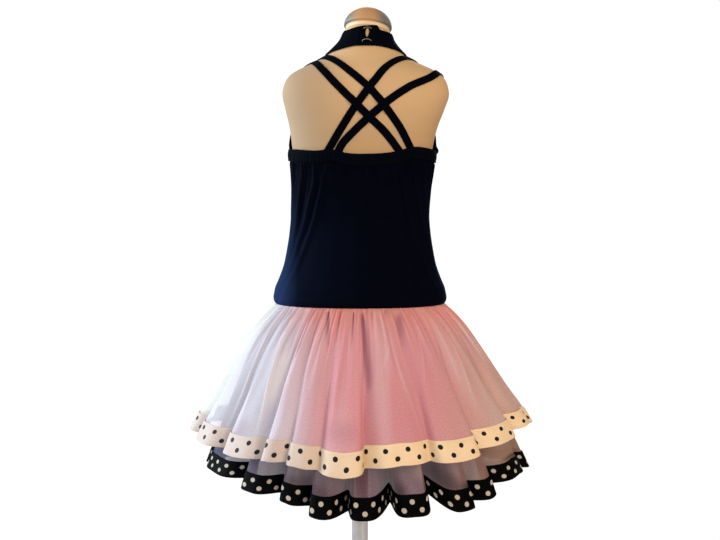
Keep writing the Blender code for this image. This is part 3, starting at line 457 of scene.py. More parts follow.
UPPER_CREASES = table(
    Crease,
    (0.028, 0.0, 0.0, 0.3, 0.0026, 0.0035),
    (0.05, -0.006, 0.08, 1.2, -0.0018, 0.0018),
    (0.061, 0.002, 0.0, 0.22, 0.0022, 0.003),
    (0.0875, -0.004, 0.06, 1.3, -0.0042, 0.0016),
    (0.102, 0.0, 0.0, 0.3, 0.0026, 0.0034),
    (0.1245, 0.017, 0.05, 1.3, -0.0044, 0.0016),
    (0.136, 0.001, 0.0, 0.24, 0.0022, 0.0028),
    (0.157, -0.001, 0.0, 0.28, 0.0028, 0.0034),
    (0.165, 0.01, 0.2, 0.85, 0.0012, 0.012),
    (0.185, 0.024, 0.03, 0.38, 0.005, 0.005),
    (0.211, 0.001, 0.01, 0.3, 0.0026, 0.0026),
    (0.2375, 0.001, 0.03, 0.38, 0.0066, 0.0024),
    (0.255, 0.008, 0.06, 0.54, 0.009, 0.0042),
    (0.265, 0.002, 0.3, 0.8, 0.0014, 0.01),
    (0.274, 0.0, 0.0, 0.22, 0.0024, 0.0026),
    (0.299, -0.06, 0.2, 0.66, -0.0016, 0.003),
    (0.295, 0.025, 0.18, 1.2, -0.0019, 0.003),
    (0.304, -0.012, 0.0, 0.15, 0.0042, 0.0042),
    (0.327, -0.02, 0.05, 0.42, 0.0042, 0.008),
    (0.35, -0.036, 0.12, 0.75, -0.0022, 0.0019),
    (0.372, -0.001, 0.0, 0.22, 0.0024, 0.003),
    (0.404, -0.024, 0.1, 1.05, -0.0026, 0.0019),
    (0.42, 0.0, 0.0, 0.3, 0.0026, 0.0034),
    (0.452, -0.004, 0.05, 1.2, -0.0018, 0.0018),
    (0.472, 0.0, 0.0, 0.3, 0.0026, 0.0034),
    (0.531, 0.001, 0.0, 0.3, 0.0038, 0.0034),
    (0.574, 0.0, 0.0, 0.41, 0.0046, 0.0036),
    (0.612, 0.002, 0.0, 0.23, 0.0032, 0.0028),
    (0.658, 0.0, 0.0, 0.36, 0.0046, 0.0034),
    (0.697, 0.0, 0.0, 0.26, 0.0036, 0.003),
    (0.742, 0.001, 0.0, 0.44, 0.0052, 0.0036),
    (0.786, 0.0, 0.0, 0.24, 0.0036, 0.0028),
    (0.823, -0.001, 0.0, 0.38, 0.0046, 0.0034),
    (0.867, 0.0, 0.0, 0.28, 0.0036, 0.003),
    (0.905, -0.002, 0.0, 0.42, 0.0046, 0.0036),
    (0.957, 0.0, 0.0, 0.3, 0.0038, 0.0032),
    (0.552, 0.01, 0.08, 1.2, -0.0024, 0.0019),
    (0.64, -0.012, 0.06, 1.2, -0.003, 0.0019),
    (0.718, 0.02, 0.2, 0.7, -0.0026, 0.0019),
    (0.802, 0.012, 0.06, 1.3, -0.003, 0.0019),
    (0.888, -0.008, 0.1, 1.1, -0.0026, 0.0019),
    (0.936, 0.004, 0.05, 1.2, -0.0018, 0.0018),
)

# Patches that the folds shade, or open to the light where deep is less than nothing: round the
# garment, down the tier, and how far they reach.
Patch = namedtuple("Patch", "turn share wide tall deep")
UPPER_PATCHES = table(
    Patch,
    (0.118, 0.83, 0.012, 0.12, 0.48),
    (0.1384, 0.48, 0.008, 0.18, -0.9),
    (0.23, 0.76, 0.026, 0.12, 0.46),
    (0.2667, 0.47, 0.007, 0.14, 0.26),
    (0.455, 0.74, 0.03, 0.14, 0.22),
)
LOWER_PATCHES = table(
    Patch,
    (0.004, 0.93, 0.018, 0.07, 0.6),
    (0.022, 0.89, 0.012, 0.04, 0.4),
    (0.085, 0.9, 0.016, 0.03, 0.4),
    (0.133, 0.88, 0.008, 0.05, 0.4),
    (0.15, 0.84, 0.005, 0.08, 0.5),
    (0.172, 0.89, 0.014, 0.05, 0.7),
    (0.205, 0.9, 0.016, 0.07, 0.7),
    (0.218, 0.8, 0.006, 0.1, -0.4),
    (0.247, 0.86, 0.005, 0.1, 0.4),
    (0.268, 0.78, 0.008, 0.07, -0.5),
    (0.288, 0.89, 0.007, 0.06, 0.8),
    (0.306, 0.8, 0.012, 0.06, -0.4),
    (0.34, 0.86, 0.016, 0.1, 0.85),
    (0.354, 0.8, 0.009, 0.05, -0.6),
    (0.363, 0.895, 0.01, 0.02, 0.9),
    (0.377, 0.8, 0.003, 0.1, -0.6),
    (0.395, 0.88, 0.01, 0.05, 0.5),
    (0.44, 0.78, 0.03, 0.05, -0.6),
    (0.45, 0.89, 0.034, 0.018, 1.0),
    (0.53, 0.89, 0.016, 0.05, 0.6),
    (0.59, 0.8, 0.012, 0.06, -0.5),
    (0.655, 0.89, 0.012, 0.06, 0.7),
    (0.728, 0.88, 0.008, 0.07, 0.7),
    (0.77, 0.8, 0.014, 0.05, -0.5),
    (0.842, 0.89, 0.016, 0.04, 0.7),
    (0.905, 0.87, 0.008, 0.07, 0.5),
    (0.962, 0.89, 0.014, 0.04, 0.6),
)

# What the two tiers are made from: their seed, how far their gathers and creases count, and a
# panel's flat length and area.
Tier = namedtuple("Tier", "name profile folds seed inward patches dots length area")
TIERS = table(
    Tier,
    ("upper", UPPER_TIER, (UPPER_BACK_FOLDS, UPPER_FRONT_FOLDS), 31, 1.0, UPPER_PATCHES, BLACK_DOTS,
     0.245, 0.205),
    ("lower", LOWER_TIER, (LOWER_BACK_FOLDS, LOWER_FRONT_FOLDS), 57, 0.5, LOWER_PATCHES, WHITE_DOTS,
     0.300, 0.275),
)


# ---- curves and sections
def eased(x):
    """Smooth step from 0 to 1."""
    x = np.clip(x, 0.0, 1.0)
    return x * x * (3 - 2 * x)


def bell(x, middle, wide):
    """1 at the middle, falling away over that width to each side."""
    return np.exp(-(((x - middle) / wide) ** 2))


def summed(steps):
    """Running totals, from 0."""
    return np.concatenate([[0], np.cumsum(steps)])


def unit(vectors):
    """Vectors of length 1."""
    return vectors / np.linalg.norm(vectors, axis=-1, keepdims=True)


def lengths(line):
    """The distance along a line to each of its points."""
    return summed(np.linalg.norm(np.diff(line, axis=0), axis=1))


def sampled(at, known, values):
    """Rows of three values, read between those known."""
    return np.stack([np.interp(at, known, values[:, k]) for k in range(3)], axis=1)


def hermite(t, step, low, high, low_slope, high_slope):
    """A cubic from low to high with those slopes at its ends, as t goes from 0 to 1."""
    return (
        (1 + 2 * t) * (1 - t) ** 2 * low
        + t * (1 - t) ** 2 * step * low_slope
        + t * t * (3 - 2 * t) * high
        + t * t * (t - 1) * step * high_slope
    )


def through(xs, ys, x):
    """A smooth curve through (xs, ys) that never overshoots them (monotone cubic)."""
    xs, ys, x = np.asarray(xs, float), np.asarray(ys, float), np.asarray(x, float)
    step, rise = np.diff(xs), np.diff(ys)
    slope = rise / step
    tangent = np.zeros(len(xs))
    tangent[0], tangent[-1] = slope[0], slope[-1]
    for i in range(1, len(xs) - 1):
        if slope[i - 1] * slope[i] > 0:
            a, b = 2 * step[i] + step[i - 1], step[i] + 2 * step[i - 1]
            tangent[i] = (a + b) / (a / slope[i - 1] + b / slope[i])
    x = np.clip(x, xs[0], xs[-1])
    i = np.clip(np.searchsorted(xs, x, side="right") - 1, 0, len(xs) - 2)
    t = (x - xs[i]) / step[i]
    return hermite(t, step[i], ys[i], ys[i + 1], tangent[i], tangent[i + 1])


def catmull_rom(xs, points, x):
    """A smooth curve through points, by the distance along them."""
    tangent = np.gradient(points, xs, axis=0)
    i = np.clip(np.searchsorted(xs, x, side="right") - 1, 0, len(xs) - 2)
    step = (xs[i + 1] - xs[i])[:, None]
    t = ((x - xs[i])[:, None]) / step
    return hermite(t, step, points[i], points[i + 1], tangent[i], tangent[i + 1])


def read(table, key, name, at):
    """A named column of a table, read at a value of its key column."""
    return through([getattr(row, key) for row in table], [getattr(row, name) for row in table], at)


def round_section(turn, half_width, back, front, middle, lean, squareness):
    """x and y on a level section. turn 0 is the +X side, 0.25 the back, 0.5 the -X side and
    0.75 the front, and each quarter is shared out by length."""
    turn, half_width, back, front, middle, lean, squareness = np.broadcast_arrays(
        turn, half_width, back, front, middle, lean, squareness
    )
    turn = np.mod(turn, 1.0) * 4
    quarter = np.minimum(np.floor(turn).astype(int), 3)
    share = turn - quarter
    share = np.where(quarter % 2 == 1, 1 - share, share)
    depth = np.where(quarter < 2, back, front)
    angle = np.linspace(0, math.pi / 2, 65)
    power = (2 / squareness)[..., None]
    x = half_width[..., None] * np.cos(angle) ** power
    y = depth[..., None] * np.sin(angle) ** power
    x[..., -1] = 0.0
    length = np.cumsum(np.hypot(np.diff(x, axis=-1), np.diff(y, axis=-1)), axis=-1)
    length = np.concatenate([np.zeros_like(length[..., :1]), length], axis=-1)
    target = share * length[..., -1]
    i = np.clip((length < target[..., None]).sum(-1) - 1, 0, len(angle) - 2)[..., None]
    low, high = [np.take_along_axis(length, k, -1) for k in (i, i + 1)]
    t = (target[..., None] - low) / np.maximum(high - low, 1e-12)
    x_at, y_at = [
        (np.take_along_axis(line, i, -1) * (1 - t) + np.take_along_axis(line, i + 1, -1) * t)[..., 0]
        for line in (x, y)
    ]
    side = np.where((quarter == 0) | (quarter == 3), 1.0, -1.0)
    way = np.where(quarter < 2, 1.0, -1.0)
    return lean + side * x_at, middle + way * y_at


def form_surface(turn, height):
    """Points on the dress form."""
    turn, height = np.broadcast_arrays(np.asarray(turn, float), np.asarray(height, float))
    values = [read(FORM, "height", name, height) for name in Section._fields[1:]]
    x, y = round_section(turn, *values)
    return np.stack([x, y, height], axis=-1)


def off_form(turn, height, out):
    """Points at a distance off the dress form, along its normal."""
    small = 0.0015              # in turn and in metres, to find the normal
    along = form_surface(turn + small, height) - form_surface(turn - small, height)
    up = form_surface(turn, height + small) - form_surface(turn, height - small)
    return form_surface(turn, height) + unit(np.cross(along, up)) * np.asarray(out)[..., None]


def wavering(turn, waves, seed):
    """A sum of a few seeded waves round the garment, from about -1 to 1."""
    chance = np.random.default_rng(seed)
    total = np.zeros_like(turn)
    for wave in waves:
        total += np.sin(2 * math.pi * (wave * turn + chance.random())) * (0.7 + 0.6 * chance.random())
    return total / len(waves)


def round_from(place, turn):
    """How far round from a place each turn lies, from -0.5 to 0.5."""
    return np.mod(turn - place + 0.5, 1.0) - 0.5


def creased(creases, turn, share):
    """How far the creases of a table sink a surface at each turn and share."""
    sunk = np.zeros(np.broadcast(turn, share).shape)
    for crease in creases:
        along = (share - crease.start) / crease.length
        middle = crease.turn + crease.tilt * np.clip(along, 0, 1)
        away = round_from(middle, turn) / (crease.width * (0.7 + 0.6 * np.clip(along, 0, 1)))
        fade = (1 - eased(along)) * eased((along + 0.12) / 0.26)
        sunk += crease.depth * bell(away, 0, 1) * fade
    return sunk


def smoothed(values, width):
    """A running mean down the rows, with the ends kept."""
    half = width // 2
    padded = np.concatenate([np.repeat(values[:1], half, 0), values, np.repeat(values[-1:], half, 0)])
    mean = np.stack([padded[i : i + len(values)] for i in range(width)]).mean(axis=0)
    mean[0], mean[-1] = values[0], values[-1]
    return mean


def grid_normals(grid, closed=False):
    """Outward unit normals of a grid of points whose rows run from the top down."""
    if closed:
        across = np.roll(grid, -1, axis=1) - np.roll(grid, 1, axis=1)
    else:
        across = np.gradient(grid, axis=1)
    down = np.gradient(grid, axis=0)
    normal = np.cross(down, across)
    return normal / np.maximum(np.linalg.norm(normal, axis=-1, keepdims=True), 1e-12)


def edged(count, length, roll):
    """Shares from 0 to 1 with extra ones near both ends, for edges rolled over that radius."""
    fine = np.array([0.0, 0.08, 0.3, 0.62, 1.0]) * roll / length
    return np.concatenate([fine[:-1], np.linspace(fine[-1], 1 - fine[-1], count), 1 - fine[:-1][::-1]])


def rolled(share, length, roll):
    """How thick the cloth is at each share, from 0 at its two edges to 1 inside them."""
    inside = np.clip(np.minimum(share, 1 - share) * length / roll, 0.0, 1.0)
    return np.sqrt(np.maximum(1 - (1 - inside) ** 2, 0.0016))


# ---- meshes
def placed(name, data):
    """A new object in the scene."""
    made = bpy.data.objects.new(name, data)
    bpy.context.scene.collection.objects.link(made)
    return made


def build(name, points, faces, uv=None, fan=None):
    """A smooth mesh object from points and faces, with a UV map from each point's (u, v) in metres,
    and the point's turn, share and painted shade as an attribute for the tulle's streaks and painted
    shade."""
    mesh = bpy.data.meshes.new(name)
    mesh.from_pydata(points.tolist(), [], faces)
    work = bmesh.new()
    work.from_mesh(mesh)
    bmesh.ops.recalc_face_normals(work, faces=work.faces)
    work.to_mesh(mesh)
    work.free()
    if uv is not None:
        corners = np.empty(len(mesh.loops), dtype=np.int32)
        mesh.loops.foreach_get("vertex_index", corners)
        layer = mesh.uv_layers.new(name="cloth")
        layer.data.foreach_set("uv", uv[corners].astype(np.float32).ravel())
    if fan is not None:
        layer = mesh.attributes.new("fan", "FLOAT_VECTOR", "POINT")
        layer.data.foreach_set("vector", fan.astype(np.float32).ravel())
    mesh.shade_smooth()
    return placed(name, mesh)


def grid_faces(rows, columns, closed, shift=0, turned=False):
    """Quads over a grid of rows and columns."""
    last = columns if closed else columns - 1
    row, column = np.meshgrid(np.arange(rows - 1), np.arange(last), indexing="ij")
    a, b = row * columns + column, row * columns + (column + 1) % columns
    quads = np.stack([a, b, b + columns, a + columns], axis=-1).reshape(-1, 4) + shift
    return (quads[:, ::-1] if turned else quads).tolist()


def end_fans(rows, sides, low, high, turned=False):
    """Triangles that close a tube of rings at both ends, round the points low and high."""
    last = (rows - 1) * sides
    faces = []
    for k in range(sides):
        after = (k + 1) % sides
        a, b = (k, after) if turned else (after, k)
        faces += [(low, a, b), (high, last + b, last + a)]
    return faces


def cloth_uv(grid):
    """UVs in metres: along the lowest row, and down the grid."""
    down = np.linalg.norm(np.diff(grid, axis=0), axis=-1).mean(axis=1)
    return np.stack(np.meshgrid(lengths(grid[-1]), summed(down)), axis=-1)


def sheet_object(name, grid, fan):
    """One open surface through a grid of points."""
    rows, columns = grid.shape[:2]
    uv = cloth_uv(grid).reshape(-1, 2)
    return build(name, grid.reshape(-1, 3), grid_faces(rows, columns, False), uv, fan.reshape(-1, 3))


def shell_object(name, grid, half_thick, uv=None, closed=False):
    """A closed cloth wall either side of a grid of points, as thick as half_thick says."""
    uv = (cloth_uv(grid) if uv is None else uv).reshape(-1, 2)
    rows, columns = grid.shape[:2]
    normal = grid_normals(grid, closed) * np.broadcast_to(half_thick, grid.shape[:2])[..., None]
    points = np.concatenate([(grid + normal).reshape(-1, 3), (grid - normal).reshape(-1, 3)])
    shift = rows * columns
    faces = grid_faces(rows, columns, closed, turned=True) + grid_faces(rows, columns, closed, shift)
    rims = [[row * columns + column for column in range(columns)] for row in (0, rows - 1)]
    if closed:
        rims = [rim + rim[:1] for rim in rims]
    else:
        rims += [[row * columns + column for row in range(rows)] for column in (0, columns - 1)]
    for rim in rims:
        faces += [(a, b, b + shift, a + shift) for a, b in zip(rim, rim[1:])]
    return build(name, points, faces, np.concatenate([uv, uv]))


def turned_object(name, profile, segments):
    """A solid of revolution about Z through (radius, height) points from axis to axis."""
    rows = len(profile) - 2
    radius, height = np.array(profile).T[:, 1:-1, None]
    angle = 2 * math.pi * np.arange(segments) / segments
    rings = np.stack(np.broadcast_arrays(radius * np.cos(angle), radius * np.sin(angle), height), axis=-1)
    ends = [(0.0, 0.0, profile[0][1]), (0.0, 0.0, profile[-1][1])]
    points = np.concatenate([rings.reshape(-1, 3), ends])
    faces = grid_faces(rows, segments, True)
    faces += end_fans(rows, segments, len(points) - 2, len(points) - 1)
    return build(name, points, faces)


def arc(centre_radius, centre_height, radius, start, end, steps=6):
    """(radius, height) points along an arc, its angles in degrees up from straight out."""
    angles = np.radians(np.linspace(start, end, steps))
    return [(centre_radius + radius * math.cos(a), centre_height + radius * math.sin(a)) for a in angles]


def swept_object(name, line, normal, half_width, half_thick, squareness=2.0, sides=16):
    """A strap or wire along a line, with a soft-cornered section."""
    across = unit(np.cross(normal, unit(np.gradient(line, axis=0))))
    angle = 2 * math.pi * np.arange(sides) / sides
    wide, high = [
        half * np.sign(wave) * np.abs(wave) ** (2 / squareness)
        for half, wave in ((half_width, np.cos(angle)), (half_thick, np.sin(angle)))
    ]
    grid = line[:, None] + across[:, None] * wide[None, :, None] + normal[:, None] * high[None, :, None]
    rows, corners = len(line), len(line) * sides
    points = np.concatenate([grid.reshape(-1, 3), line[:1], line[-1:]])
    faces = grid_faces(rows, sides, True) + end_fans(rows, sides, corners, corners + 1, turned=True)
    length = lengths(line)
    uv = np.stack(np.meshgrid(wide, length), axis=-1).reshape(-1, 2)
    return build(name, points, faces, np.concatenate([uv, [[0, 0], [0, length[-1]]]]))


# ---- materials
class Finish:
    """A material's nodes, wired up by short calls."""

    def __init__(self, name):
        self.material = bpy.data.materials.new(name)
        self.material.use_nodes = True
        self.tree = self.material.node_tree
        self.shader = self.tree.nodes["Principled BSDF"]

    def plug(self, socket, value):
        """Sets a socket, or links it to another node's output."""
        if isinstance(value, bpy.types.NodeSocket):
            self.tree.links.new(value, socket)
        elif socket.type == "RGBA":
            socket.default_value = (*value, 1.0)
        else:
            socket.default_value = value

    def new(self, kind):
        """A new shader node."""
        return self.tree.nodes.new("ShaderNode" + kind)

    def wired(self, node, inputs):
        """A node's first output, once its inputs are set or linked."""
        for key, value in inputs.items():
            self.plug(node.inputs[key], value)
        return node.outputs[0]

    def math(self, operation, a, b=0.0):
        """The result of an operation on one or two values."""
        node = self.new("Math")
        node.operation = operation
        return self.wired(node, {0: a, 1: b})

    def add(self, a, b):
        """A sum."""
        return self.math("ADD", a, b)

    def less(self, a, b):
        """A difference."""
        return self.math("SUBTRACT", a, b)

    def times(self, a, b):
        """A product."""
        return self.math("MULTIPLY", a, b)

    def waves(self, value, length):
        """A sine wave of that length."""
        return self.math("SINE", self.times(value, 2 * math.pi / length))

    def place(self):
        """Where a point is in the frame."""
        return self.new("TexCoord").outputs["Object"]

    def on_cloth(self):
        """Where a point is on the cloth, as (u, v) in metres."""
        node = self.new("UVMap")
        node.uv_map = "cloth"
        return node.outputs[0]

    def on_fan(self):
        """A tier's turn, share and painted shade, from its troughs and patches."""
        node = self.new("Attribute")
        node.attribute_name = "fan"
        return node.outputs["Vector"]

    def scaled(self, vector, scale):
        """Coordinates multiplied by a scale for each axis."""
        node = self.new("VectorMath")
        node.operation = "MULTIPLY"
        return self.wired(node, {0: vector, 1: scale})

    def split(self, vector):
        """The x, y and z of a vector."""
        node = self.new("SeparateXYZ")
        self.plug(node.inputs[0], vector)
        return node.outputs

    def noise(self, scale, detail=2.0, vector=None):
        """Soft noise about 0.5, by the place in the frame unless other coordinates are given."""
        vector = self.place() if vector is None else vector
        return self.wired(self.new("TexNoise"), {"Vector": vector, "Scale": scale, "Detail": detail})

    def cells(self, vector, scale, jitter):
        """Distance to the nearest edge of a field of cells, for a net."""
        node = self.new("TexVoronoi")
        node.feature = "DISTANCE_TO_EDGE"
        self.wired(node, {"Vector": vector, "Scale": scale, "Randomness": jitter})
        return node.outputs["Distance"]

    def ramp(self, value, low, high, to_low=0.0, to_high=1.0):
        """A value mapped smoothly from one range to another."""
        node = self.new("MapRange")
        node.interpolation_type = "SMOOTHSTEP"
        return self.wired(node, {0: value, 1: low, 2: high, 3: to_low, 4: to_high})

    def tint(self, factor, low, high):
        """A colour between two others."""
        node = self.new("Mix")
        node.data_type = "RGBA"
        self.wired(node, {0: factor, 6: low, 7: high})
        return node.outputs[2]

    def bump(self, height, distance, strength):
        """Relief of that many metres on the shader."""
        bumped = self.wired(self.new("Bump"), {"Strength": strength, "Distance": distance, "Height": height})
        self.plug(self.shader.inputs["Normal"], bumped)

    def surface(self, colour, roughness, metallic=0.0, specular=0.5, sheen=0.0, sheen_tint=(1.0, 1.0, 1.0)):
        """The shader's colour, roughness and sheen."""
        self.wired(self.shader, {
            "Base Color": colour, "Roughness": roughness, "Metallic": metallic,
            "Specular IOR Level": specular, "Sheen Weight": sheen, "Sheen Roughness": 0.4,
            "Sheen Tint": sheen_tint,
        })
        return self.material


def jersey():
    """Stretch jersey, near black with a little navy, in fine knitted ribs, with painted daylight in
    navy on the wearer's left side, stronger lower down.
    """
    finish = Finish("black_jersey")
    u, v, _ = finish.split(finish.on_cloth())
    knit = finish.times(finish.waves(u, 0.0011), finish.waves(v, 0.0009))
    pile = finish.noise(2400.0, 1.0)
    finish.bump(finish.add(finish.times(knit, 0.35), pile), 0.00012, 0.6)
    blotches = finish.noise(38.0, 3.0)
    colour = finish.tint(blotches, (0.0003, 0.0006, 0.0026), (0.0008, 0.0014, 0.0052))
    across, _, height = finish.split(finish.place())
    # Painted light: daylight from the wearer's left tints the jersey navy, faintly from the middle leftwards
    # and fully at its left edge, fading out higher up.
    faint, edge = finish.ramp(across, -0.03, 0.10, 0.0, 0.07), finish.ramp(across, 0.086, 0.128)
    daylit = finish.times(finish.math("MAXIMUM", faint, edge), finish.ramp(height, 0.78, 0.68))
    colour = finish.tint(daylit, colour, (0.0090, 0.0215, 0.0640))
    roughness = finish.ramp(blotches, 0.2, 0.8, 0.72, 0.86)
    return finish.surface(colour, roughness, specular=0.015, sheen=0.055, sheen_tint=(0.03, 0.10, 0.55))


def elastic():
    """The straps' and bindings' narrow jersey, turned and pressed, a shade flatter."""
    finish = Finish("black_binding")
    u, v, _ = finish.split(finish.on_cloth())
    knit = finish.times(finish.add(finish.waves(v, 0.0010), finish.waves(u, 0.0012)), 0.2)
    grain = finish.noise(1500.0, 2.0)
    finish.bump(finish.add(knit, grain), 0.00012, 0.6)
    blotches = finish.noise(60.0)
    colour = finish.tint(blotches, (0.0003, 0.0006, 0.0020), (0.0009, 0.0014, 0.0042))
    return finish.surface(colour, 0.8, specular=0.02, sheen=0.006, sheen_tint=(0.25, 0.40, 1.0))


def tulle(name, shades, top_cover, hem_cover, sheen):
    """Soft nylon tulle: a fine net that veils what is behind it, denser where it is gathered,
    with streaks that follow its gathers and fade towards its hem. Its colour holds painted light:
    daylight from the wearer's left, a warm fill from the right, painted shade in its troughs and
    painted highlights on its ridges."""
    finish = Finish(name)
    fan, cloth = finish.on_fan(), finish.on_cloth()
    turn, share, sunk = finish.split(fan)
    across = finish.split(finish.place())[0]
    to_side = finish.math("ABSOLUTE", finish.less(finish.math("FRACT", finish.add(turn, 0.5)), 0.5))
    broad = finish.noise(1.0, 1.0, finish.scaled(fan, (30.0, 0.8, 0.0)))
    streaks = finish.noise(1.0, 2.0, finish.scaled(fan, (210.0, 1.3, 0.0)))
    streaked = finish.times(finish.less(streaks, 0.5), finish.ramp(share, 0.0, 0.90, 1.0, 0.45))
    grain = finish.noise(500.0, 2.0, cloth)
    net = finish.ramp(finish.cells(cloth, 760.0, 0.35), 0.05, 0.32, 1.0, 0.0)
    cover = finish.ramp(share, 0.0, 0.85, top_cover, hem_cover)
    cover = finish.less(cover, finish.ramp(across, 0.05, 0.24, 0.0, 0.16))
    for part, amount in (
        (finish.less(broad, 0.5), 0.08),
        (streaked, 0.20),
        (finish.less(net, 0.5), 0.08),
        (finish.math("ABSOLUTE", sunk), 0.10),
        (finish.less(grain, 0.5), 0.18),
    ):
        cover = finish.add(cover, finish.times(part, amount))
    cover = finish.math("MAXIMUM", finish.math("MINIMUM", cover, 0.98), 0.20)
    near_seam = finish.times(finish.ramp(share, 0.30, 0.0), finish.ramp(across, 0.12, 0.03))
    # Painted light: the far left, left and right colours stand for daylight from the wearer's left and a warm
    # fill from the right; the trough colour puts painted shade in creases, gathers and shaded patches, the
    # light colour a painted highlight on ridges and opened patches. Broad bands, streaks and grain lighten
    # and darken it at random.
    colour = shades.middle
    for factor, shade in (
        (finish.ramp(across, 0.02, 0.14), shades.left),
        (finish.ramp(to_side, 0.085, 0.030), shades.far_left),
        (finish.ramp(across, -0.07, -0.24), shades.right),
        (near_seam, shades.seam),
        (finish.ramp(broad, 0.46, 0.72, 0.0, 0.24), shades.light),
        (finish.ramp(streaked, -0.02, -0.24, 0.0, 0.40), shades.light),
        (finish.ramp(grain, 0.50, 0.66, 0.0, 0.17), shades.light),
        (finish.ramp(grain, 0.48, 0.34, 0.0, 0.10), shades.trough),
        (finish.ramp(streaked, 0.02, 0.30, 0.0, 0.30), shades.trough),
        (finish.ramp(sunk, 0.12, 1.0, 0.0, 0.9), shades.trough),
        (finish.times(finish.ramp(sunk, -0.06, -0.60), 0.66), shades.light),
    ):
        colour = finish.tint(factor, colour, shade)
    finish.surface(colour, 0.62, specular=0.2, sheen=sheen, sheen_tint=(1.0, 0.94, 0.96))
    glow = finish.wired(finish.new("BsdfTranslucent"), {"Color": colour})
    woven = finish.wired(finish.new("MixShader"), {0: 0.45, 1: finish.shader.outputs[0], 2: glow})
    clear = finish.new("BsdfTransparent").outputs[0]
    veil = finish.wired(finish.new("MixShader"), {0: cover, 1: clear, 2: woven})
    finish.plug(finish.tree.nodes["Material Output"].inputs["Surface"], veil)
    return finish.material


def ribbon(name, grounds, dot, dots, gloss):
    """Ribbon printed with two staggered rows of dots, its ground from the wearer's left to the
    right, with painted light: cooler on the left and warmer on the right."""
    finish = Finish(name)
    u, v, _ = finish.split(finish.on_cloth())
    printed = 0.0
    for row, start in zip(dots.rows, (0.0, 0.5)):
        along = finish.math("FRACT", finish.add(finish.times(u, 1 / dots.pitch), start))
        along = finish.times(finish.less(along, 0.5), dots.pitch)
        down = finish.less(v, row * RIBBON_WIDTH)
        away = finish.math("SQRT", finish.add(finish.times(along, along), finish.times(down, down)))
        inside = finish.ramp(away, dots.radius - DOT_BLUR, dots.radius + DOT_BLUR, 1.0, 0.0)
        printed = finish.math("MAXIMUM", inside, printed)
    wear = finish.noise(55.0, 3.0)
    finish.bump(finish.waves(u, 0.0009), 0.00008, 0.5)
    # Painted light: the ground turns from the right's warm colour to the left's cooler one, for daylight from
    # the wearer's left and a warm fill from the right.
    ground = finish.tint(finish.ramp(finish.split(finish.place())[0], -0.04, 0.14), grounds[1], grounds[0])
    ground = finish.tint(finish.times(wear, 0.3), ground, tuple(0.6 * part for part in grounds[1]))
    worn = tuple(0.80 * part for part in dot)
    return finish.surface(finish.tint(printed, ground, finish.tint(wear, worn, dot)), 0.55, specular=gloss)


def form_cover():
    """The form's cream jersey cover, with painted shade lower down and on the wearer's left."""
    finish = Finish("cream_cover")
    patches = finish.noise(9.0, 3.0)
    weave = finish.noise(1800.0, 1.0)
    finish.bump(weave, 0.00010, 0.5)
    colour = finish.tint(patches, (0.475, 0.296, 0.140), (0.555, 0.362, 0.184))
    across, _, height = finish.split(finish.place())
    # Painted shade: the cover is darker lower down and towards the wearer's left.
    colour = finish.tint(finish.ramp(height, 0.92, 0.82, 0.0, 0.5), colour, (0.36, 0.215, 0.100))
    colour = finish.tint(finish.ramp(across, 0.0, 0.10), colour, (0.325, 0.220, 0.128))
    return finish.surface(colour, finish.ramp(patches, 0.2, 0.8, 0.75, 0.88), sheen=0.05)


def smooth_part(name, low, high, roughness, metallic, grain):
    """A painted or metal part, with faint handling marks."""
    finish = Finish(name)
    marks = finish.noise(30.0, 4.0)
    finish.bump(finish.noise(grain, 2.0), 0.00005, 0.3)
    colour = finish.tint(marks, low, high)
    return finish.surface(colour, finish.ramp(marks, 0.2, 0.8, roughness - 0.06, roughness + 0.08), metallic)


def cap_place():
    """Where the cap sits on the neck, and how it slants."""
    lean, middle = [read(FORM, "height", name, NECK_TOP).item() for name in ("lean", "middle")]
    slanted = Euler((NECK_NOD, -NECK_TILT, 0.0)).to_matrix().to_4x4()
    return Matrix.Translation((lean, middle, NECK_TOP + SEAM)) @ slanted


def cap_paint():
    """The cap's satin grey, with a painted reflection of the warm room in tan towards the middle."""
    finish = Finish("grey_cap")
    across = finish.split(finish.place())[0]
    marks = finish.noise(30.0, 4.0)
    # Painted reflection: the warm tan that the satin cap mirrors, painted in towards its middle.
    middle = finish.ramp(finish.math("ABSOLUTE", finish.add(across, 0.0085)), 0.008, 0.030, 1.0, 0.0)
    grey = finish.tint(marks, (0.105, 0.102, 0.096), (0.150, 0.144, 0.134))
    colour = finish.tint(middle, grey, (0.42, 0.225, 0.092))
    place = cap_place()
    foot, axis = place.translation, place.col[2]
    along = 0.0
    for part, start, way in zip(finish.split(finish.place()), foot, axis):
        along = finish.add(finish.times(finish.less(part, start), way), along)
    covered = finish.ramp(along, CAP_COVER - 0.0003, CAP_COVER + 0.0003, 1.0, 0.0)
    colour = finish.tint(covered, colour, (0.66, 0.50, 0.32))
    finish.bump(finish.noise(500.0, 2.0), 0.00005, 0.3)
    return finish.surface(colour, finish.ramp(marks, 0.2, 0.8, 0.50, 0.60))


def thread(name, low, high):
    """Sewing thread."""
    finish = Finish(name)
    twist = finish.noise(2600.0, 1.0)
    finish.bump(twist, 0.00005, 0.5)
    return finish.surface(finish.tint(twist, low, high), 0.75, specular=0.08)


def dressed(made, material, slot=None, *nodes):
    """Gives a piece its material and lets it ride and stand for its CAD nodes. slot is not used."""
    made.data.materials.append(material)
    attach(made, "root")
    if nodes:
        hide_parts(*nodes)
    return made


